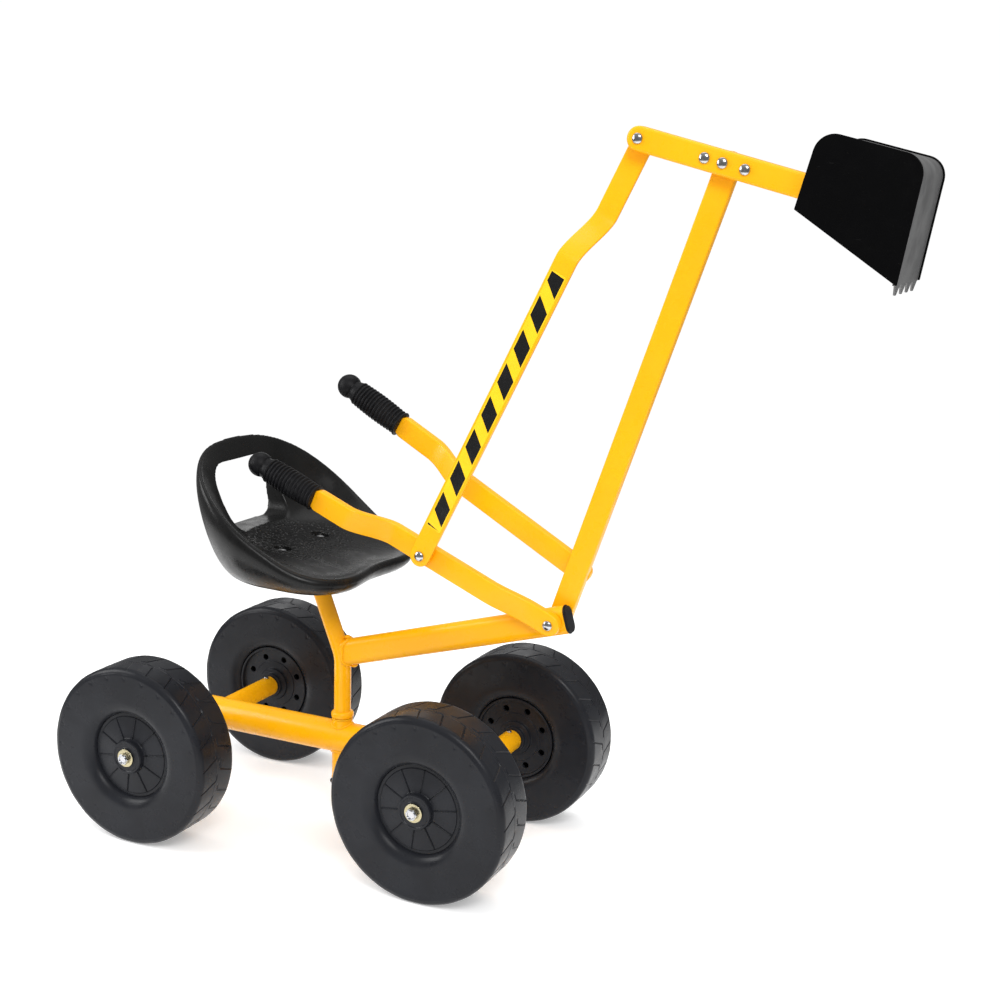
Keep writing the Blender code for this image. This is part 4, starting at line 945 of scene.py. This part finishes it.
def flat_bar(start, end, side, width=BAR_W, thick=BAR_T, corner=0.0017, square=False, bends=()):
    """A flat-oval bar along X, its half-round ends centred on start and end, its middle at Y = side(x)."""
    quarter = 12
    half = width / 2
    xs = {start + (end - start) * k / 10 for k in range(1, 10)}
    xs |= {a + (b - a) * k / 22 for a, b in bends for k in range(23)}
    xs = sorted(xs)
    ring = [(end, a) for a in np.linspace(0, 90, quarter + 1)] + [(x, 90.0) for x in reversed(xs)]
    ring += [(start, a) for a in np.linspace(90, 270, 2 * quarter + 1)] + [(x, 270.0) for x in xs]
    ring += [(end, a) for a in np.linspace(270, 360, quarter + 1)[:-1]]
    centre = np.array([c for c, _ in ring])
    turns = np.radians([a for _, a in ring])
    ways = np.stack((np.cos(turns), np.sin(turns)), 1)
    if square:
        front = (centre == end) & (ways[:, 0] > -1e-9)
        grow = 1.0 / np.maximum(np.abs(ways[:, 0]), np.abs(ways[:, 1]))
        ways[front] *= np.minimum(grow, 1.36)[front, None]
        centre = np.where(centre == end, end - half, centre)
    rows = []
    for sign in (-1, 1):
        for t in np.radians(np.linspace(90, 0, 7) if sign < 0 else np.linspace(0, 90, 7)):
            inset = corner * (1 - math.cos(t))
            x = centre + (half - inset) * ways[:, 0]
            y = side(x) + sign * (thick / 2 - corner + corner * math.sin(t))
            rows.append(np.stack((x, y, (half - inset) * ways[:, 1]), 1))
    points, faces = loop(rows, caps=False)
    size = len(ring)
    for offset in (0, len(points) - size):
        for i in range(size // 2):
            face = [offset + k for k in dict.fromkeys((i, i + 1, size - i - 1, (size - i) % size))]
            faces.append(face)
    return points, [face for face in faces if len(face) > 2]


def level(y):
    return lambda x: np.full(np.shape(x), y)


def grip_shape():
    """The ribbed grip along Z from its flange to its ball."""
    profile = [(0.0112, 0.0)] + arc(0.0154, 0.0014, 0.0014, -90, 90, 8)[1:]
    profile += [(0.0147, 0.0032), (0.0143, 0.0046)]
    pitch = 0.0686 / 14
    for i in range(14):
        swell = 0.0013 * math.sin(math.pi * (i + 0.5) / 14)
        base_at = 0.0050 + i * pitch
        for share in np.linspace(0.0, 1.0, 9)[:-1]:
            bulge = math.sin(math.pi * min(share / 0.72, 1.0)) ** 0.55 if share < 0.72 else 0.0
            profile.append((0.0142 + swell + 0.0017 * bulge, base_at + share * pitch))
    neck = [(0.0142, 0.0738), (0.0134, 0.0762), (0.0128, 0.0782), (0.0127, 0.0796), (0.0131, 0.0807)]
    ball = arc(0.0, 0.0875, 0.0155, -26, 62, 16)
    end = [(0.0066, 0.1014), (0.0060, 0.1011), (0.0055, 0.1013), (0.0030, 0.1024), (0.0, 0.1027)]
    return profile + neck + ball + end


def grip(name, start, angle, y, body, node):
    part = turned([(0.0, 0.0)] + grip_shape(), 64, closed=False)
    at = in_plane(start, angle) @ shift(0.0, y, 0.0) @ spin(90, "Y")
    put(name, part, RUBBER, body, node, at, 60)


def stripes(start, end, half_h, y):
    """The film on the link: black slanted bars on yellow inside a yellow border, as faces of one sheet."""
    border, slant, count, dark_share = 0.0014, 0.0150, 8, 0.58
    low, high = -half_h + border, half_h - border
    pitch = (end - start - 2 * border) / (count - 0.25)
    points, faces, kinds = [], [], []

    def sheet(outline, lift, kind):
        base = len(points)
        points.extend((x, y - lift, z) for x, z in outline)
        faces.append(list(range(base, base + len(outline))))
        kinds.append(kind)

    edge = fillet([(start, -half_h), (end, -half_h), (end, half_h), (start, half_h)], 0.002, 5)
    sheet(edge, 0.00005, 0)
    back = len(points)
    points.extend((x, y + 0.0002, z) for x, z in edge)
    size = len(edge)
    for k in range(size):
        n = (k + 1) % size
        faces.append([k, n, back + n, back + k])
        kinds.append(0)
    for i in range(count + 1):
        a = start + border + (i - 0.86) * pitch
        b = a + pitch * dark_share
        outline = [(a, low), (b, low), (b + slant, high), (a + slant, high)]
        outline = [(min(max(x, start + border), end - border), z) for x, z in outline]
        xs = [x for x, _ in outline]
        if max(xs) - min(xs) > 0.002:
            sheet(outline, 0.00012, 1)
    return np.array(points), faces, kinds


def middle_of(node):
    low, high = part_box(node)
    return (low + high) / 2


def point_at(start, angle, distance):
    """The point at a distance from another, in the bars' plane."""
    turn = math.radians(angle)
    return start + Vector((math.cos(turn), 0.0, math.sin(turn))) * distance


def bar(name, part, body, node, at):
    put(name, part, PAINT, body, node, at)


def linkage():
    """The bars, their grips and the striped film. Gives the dipper's pivot and angle."""
    p0, p1, p3 = JOINT["arm_lift"], JOINT["link_swing"], JOINT["bucket_curl"]
    p2 = middle_of("tail_pivot_bolt")
    p2.y = 0.0
    arm_angle = angle_to(p0, p3)
    part = flat_bar(0.0, (p3 - p0).length, level(middle_of("main_arm").y))
    bar("arm_bar", part, "arm", "main_arm", in_plane(p0, arm_angle))
    lever_y, mid_y, grip_y = -0.0164, -0.0260, 0.0580

    def right(x):
        return ease(x, 0.026, 0.084, lever_y, mid_y) + ease(x, 0.223, 0.279, 0.0, -grip_y - mid_y)

    angle = angle_to(p0, p1)
    reach = 0.3265
    part = flat_bar(0.0, reach - 0.008, right, bends=((0.020, 0.090), (0.216, 0.286)))
    bar("right_lever_bar", part, "bucket_lever", "right_lever", in_plane(p0, angle))
    grip("right_grip_rubber", point_at(p0, angle, reach), angle, -grip_y, "bucket_lever", "right_grip")

    def left(x):
        return ease(x, 0.186, 0.251, 0.0288, grip_y)

    root = point_at(p0, arm_angle, 0.062)
    reach = 0.305
    part = flat_bar(0.0, reach - 0.008, left, bends=((0.180, 0.257),))
    weld = [(x, 0.0228 - 0.0002, z) for x, z in arc(0.0, 0.0, BAR_W / 2, 0, 360, 60)[:-1] if abs(x) < 0.02]
    part = together(part, bead(weld, 0.0013, closed=True))
    bar("left_lever_bar", part, "arm", "left_lever", in_plane(root, LEFT_ANGLE))
    grip("left_grip_rubber", point_at(root, LEFT_ANGLE, reach), LEFT_ANGLE, grip_y, "arm", "left_grip")
    length = (p2 - p1).length
    low_y, high_y = -0.0384, 0.0164
    strap = 0.0055
    back = (BAR_T - strap) / 2

    def near(x):
        return ease(x, length - 0.150, length - 0.092, low_y, high_y) - back

    bends = ((length - 0.156, length - 0.086),)
    part = flat_bar(0.0, length, near, width=0.0264, thick=strap, corner=0.0012, bends=bends)
    for x, y in ((0.0, low_y), (length, high_y)):
        spacer = tube(0.0085, strap / 2 - back - 0.0005, BAR_T / 2, 0.0004)
        part = together(part, moved(spacer, on_axis((x, y, 0.0), (0, 1, 0))))
    at = in_plane(p1, angle_to(p1, p2))
    bar("link_flat_bar", part, "link", "link_bar", at)
    points, faces, kinds = stripes(0.0405, 0.3875, 0.0103, low_y - BAR_T / 2 - 0.0002)
    mesh = mesh_of("stripe_sheet", (points, faces), (FILM_YELLOW, FILM_BLACK), weld=False)
    for face, kind in zip(mesh.polygons, kinds):
        face.material_index = kind
        face.use_smooth = False
    place("stripe_sheet", mesh, "link", "stripe_film", at)
    angle = angle_to(p2, p3)
    part = flat_bar(-(p3 - p2).length, DIPPER_END, level(0.0), thick=0.020, corner=0.0036, square=True)
    bar("dipper_flat_bar", part, "dipper", "dipper_bar", in_plane(p3, angle))
    return p3, angle


def fasteners():
    """Bolts with their heads on the near side, and lock nuts on the far side."""
    for node, body in (
        ("boom_pivot_bolt", "seat_frame"), ("lever_pivot_bolt", "bucket_lever"),
        ("tail_pivot_bolt", "dipper"),
        ("arm_pivot_bolt", "dipper"), ("stop_bolt_rear", "dipper"), ("stop_bolt_front", "dipper"),
    ):
        low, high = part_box(node)
        face = low.y + 0.0038
        part = together(dome(), thread(ROD_R, face - high.y, 0.0002))
        at = on_axis(((low.x + high.x) / 2, face, (low.z + high.z) / 2), (0, -1, 0))
        put(f"{node}_head", part, ZINC, body, node, at)
    lock = mesh_of("lock_nut", nut(), ZINC)
    for node, body in (
        ("boom_pivot_nut", "seat_frame"), ("lever_pivot_nut", "bucket_lever"),
        ("arm_pivot_nut", "dipper"), ("tail_pivot_nut", "link"),
    ):
        low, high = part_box(node)
        at = on_axis(((low.x + high.x) / 2, high.y - 0.0065, (low.z + high.z) / 2), (0, 1, 0))
        if node == "tail_pivot_nut":
            part = together(nut(), thread(ROD_R, low.y - high.y + 0.0065, 0.0070))
            put(f"{node}_hex", part, ZINC, body, node, at)
        else:
            place(f"{node}_hex", lock, body, node, at, True)


# ---- bucket
SHEET, CORNER, HALF_B = 0.002, 0.022, 0.0615


def inset(points, distance):
    """Moves the straight stretches of an open outline to their right."""
    made = []
    for i, here in enumerate(points):
        here = Vector(here)
        sides = []
        if i > 0:
            sides.append((here - Vector(points[i - 1])).normalized())
        if i < len(points) - 1:
            sides.append((Vector(points[i + 1]) - here).normalized())
        normals = [Vector((s.y, -s.x)) for s in sides]
        normal = sum(normals, Vector((0.0, 0.0))).normalized()
        made.append(tuple(here + normal * (distance / normal.dot(normals[0]))))
    return made


def teeth_outline():
    """The lip in its own plane, Y across and X down: four tines with round-topped slots between them."""
    edge = HALF_B - 0.0001
    pitch = 2 * edge / 4
    outline = [(-edge, -0.004)]
    for i in range(4):
        left = -edge + i * pitch
        slot = [(left, 0.0), (left + 0.10 * pitch, 0.0), (left + 0.36 * pitch, 0.0105)]
        slot += [(left + 0.60 * pitch, 0.0105), (left + 0.92 * pitch, 0.0), (left + pitch, 0.0)]
        outline += fillet(slot, [0.0, 0.0028, 0.0024, 0.0024, 0.0028, 0.0], 5, closed=False)[:-1]
    return outline + [(edge, 0.0), (edge, -0.004)]


def bucket(p3, angle):
    corners = [(DIPPER_END, -0.0211), (0.1020, 0.0620), (0.2140, 0.0630), (0.2250, -0.0650)]
    corners = [(x + (SHEET + CLEARANCE), z) for x, z in corners]
    at = in_plane(p3, angle)
    stand = spin(90, "X")
    outline = fillet(corners, [0.0012, CORNER, CORNER, 0.0012], 12)
    side_plate = moved(plate(outline, SHEET, 0.0005), stand)
    for side, sign in SIDES:
        node = f"bucket_side_{side}"
        where = at @ shift(0.0, sign * (HALF_B + CLEARANCE + SHEET / 2), 0.0)
        put(f"{node}_plate", side_plate, BLACK, "dipper", node, where)
    paths = []
    for depth in (0.002, 0.002 + SHEET):
        turn = CORNER - depth
        paths.append(fillet(inset(corners, depth), [0.0, turn, turn, 0.0], 14, closed=False))
    wrap = moved(plate(paths[0] + paths[1][::-1], 2 * HALF_B, 0.0004), stand)
    outer = [Vector(p) for p in inset(corners, 0.002)]
    down = (outer[3] - outer[2]).normalized()
    fall, across = Vector((down.x, 0.0, down.y)), Vector((0.0, 1.0, 0.0))
    turn = Matrix((across, fall, across.cross(fall))).transposed().to_4x4()
    start = Vector((outer[3].x + down.y * SHEET / 2, 0.0, outer[3].y - down.x * SHEET / 2))
    tines = moved(plate(teeth_outline(), SHEET * 0.96, 0.0004), Matrix.Translation(start) @ turn)
    parts = [wrap, tines]
    for sign in (-1, 1):
        seam = [Vector((x, sign * (HALF_B - 0.0004), z)) for x, z in paths[1]]
        parts.append(swept(seam, 0.0009, 8))
    put("bucket_sheet", together(*parts), GREY, "dipper", "bucket_wrap", at)


# ---- studio
def area(name, place_at, size, power, aim=0.35):
    light = bpy.data.lights.new(name, "AREA")
    light.shape = "RECTANGLE"
    light.size, light.size_y = size
    light.energy = power
    thing = add(name, light)
    thing.location = place_at
    thing.rotation_euler = (Vector((0.0, 0.0, aim)) - Vector(place_at)).to_track_quat("-Z", "Y").to_euler()


def studio():
    mesh = bpy.data.meshes.new("floor")
    mesh.from_pydata([(x, y, 0) for x, y in rectangle(1.8, 1.8)], [], [[0, 1, 2, 3]])
    mesh.materials.append(floor_look())
    add("floor", mesh)
    area("key", (1.3, -2.0, 2.3), (1.3, 1.0), 44.0)
    area("left_fill", (-2.3, -1.0, 1.5), (0.9, 1.5), 24.0)
    area("top", (-0.3, 0.5, 2.6), (2.0, 1.4), 12.0, 0.3)
    area("strip", (-1.7, -1.3, 1.1), (0.16, 1.2), 6.0)
    area("back", (-1.1, 2.2, 1.0), (1.5, 0.5), 3.0)


def backdrop():
    """White where it is seen. It lights most from above and is dimmer in reflections."""
    world = bpy.data.worlds.new("studio")
    bpy.context.scene.world = world
    world.use_nodes = True
    tree = world.node_tree

    def new(kind):
        return tree.nodes.new(f"ShaderNode{kind}")

    def maths(operation, *values):
        node = new("Math")
        node.operation = operation
        for socket, value in zip(node.inputs, values):
            if isinstance(value, float):
                socket.default_value = value
            else:
                tree.links.new(value, socket)
        return node.outputs[0]

    sky, white = tree.nodes["Background"], new("Background")
    white.inputs["Strength"].default_value = 1.02
    for each in (sky, white):
        each.inputs["Color"].default_value = (1.0, 1.0, 1.0, 1.0)
    height = new("SeparateXYZ")
    tree.links.new(new("TexCoord").outputs["Generated"], height.inputs[0])
    rise = new("MapRange")
    rise.interpolation_type = "SMOOTHSTEP"
    for name, value in (("From Min", 0.05), ("From Max", 0.85), ("To Min", 0.55), ("To Max", 1.10)):
        rise.inputs[name].default_value = value
    tree.links.new(height.outputs[2], rise.inputs["Value"])
    seen = new("LightPath")
    dim = maths("MULTIPLY_ADD", seen.outputs["Is Glossy Ray"], -0.62, 1.0)
    tree.links.new(maths("MULTIPLY", rise.outputs["Result"], dim), sky.inputs["Strength"])
    either = new("MixShader")
    for index, socket in enumerate((seen.outputs["Is Camera Ray"], sky.outputs[0], white.outputs[0])):
        tree.links.new(socket, either.inputs[index])
    tree.links.new(either.outputs[0], tree.nodes["World Output"].inputs["Surface"])


def camera():
    yaw, pitch, roll = (math.radians(a) for a in (25.05, 11.84, 1.58))
    back = Vector((math.sin(yaw) * math.cos(pitch), -math.cos(yaw) * math.cos(pitch), math.sin(pitch)))
    right = (-back).cross(Vector((0.0, 0.0, 1.0))).normalized()
    up = right.cross(-back)
    x = right * math.cos(roll) + up * math.sin(roll)
    y = up * math.cos(roll) - right * math.sin(roll)
    eye = bpy.data.cameras.new("camera")
    eye.sensor_width = 36.0
    eye.lens = 54.58
    eye.clip_end = 60.0
    thing = add("camera", eye)
    thing.matrix_world = shift(0.7819, -1.6184, 0.8315) @ Matrix((x, y, back)).transposed().to_4x4()
    bpy.context.scene.camera = thing


bpy.context.scene.view_settings.view_transform = "Standard"
wheels()
base()
upper_frame()
seat()
pivot, dipper_angle = linkage()
fasteners()
bucket(pivot, dipper_angle)
studio()
backdrop()
camera()
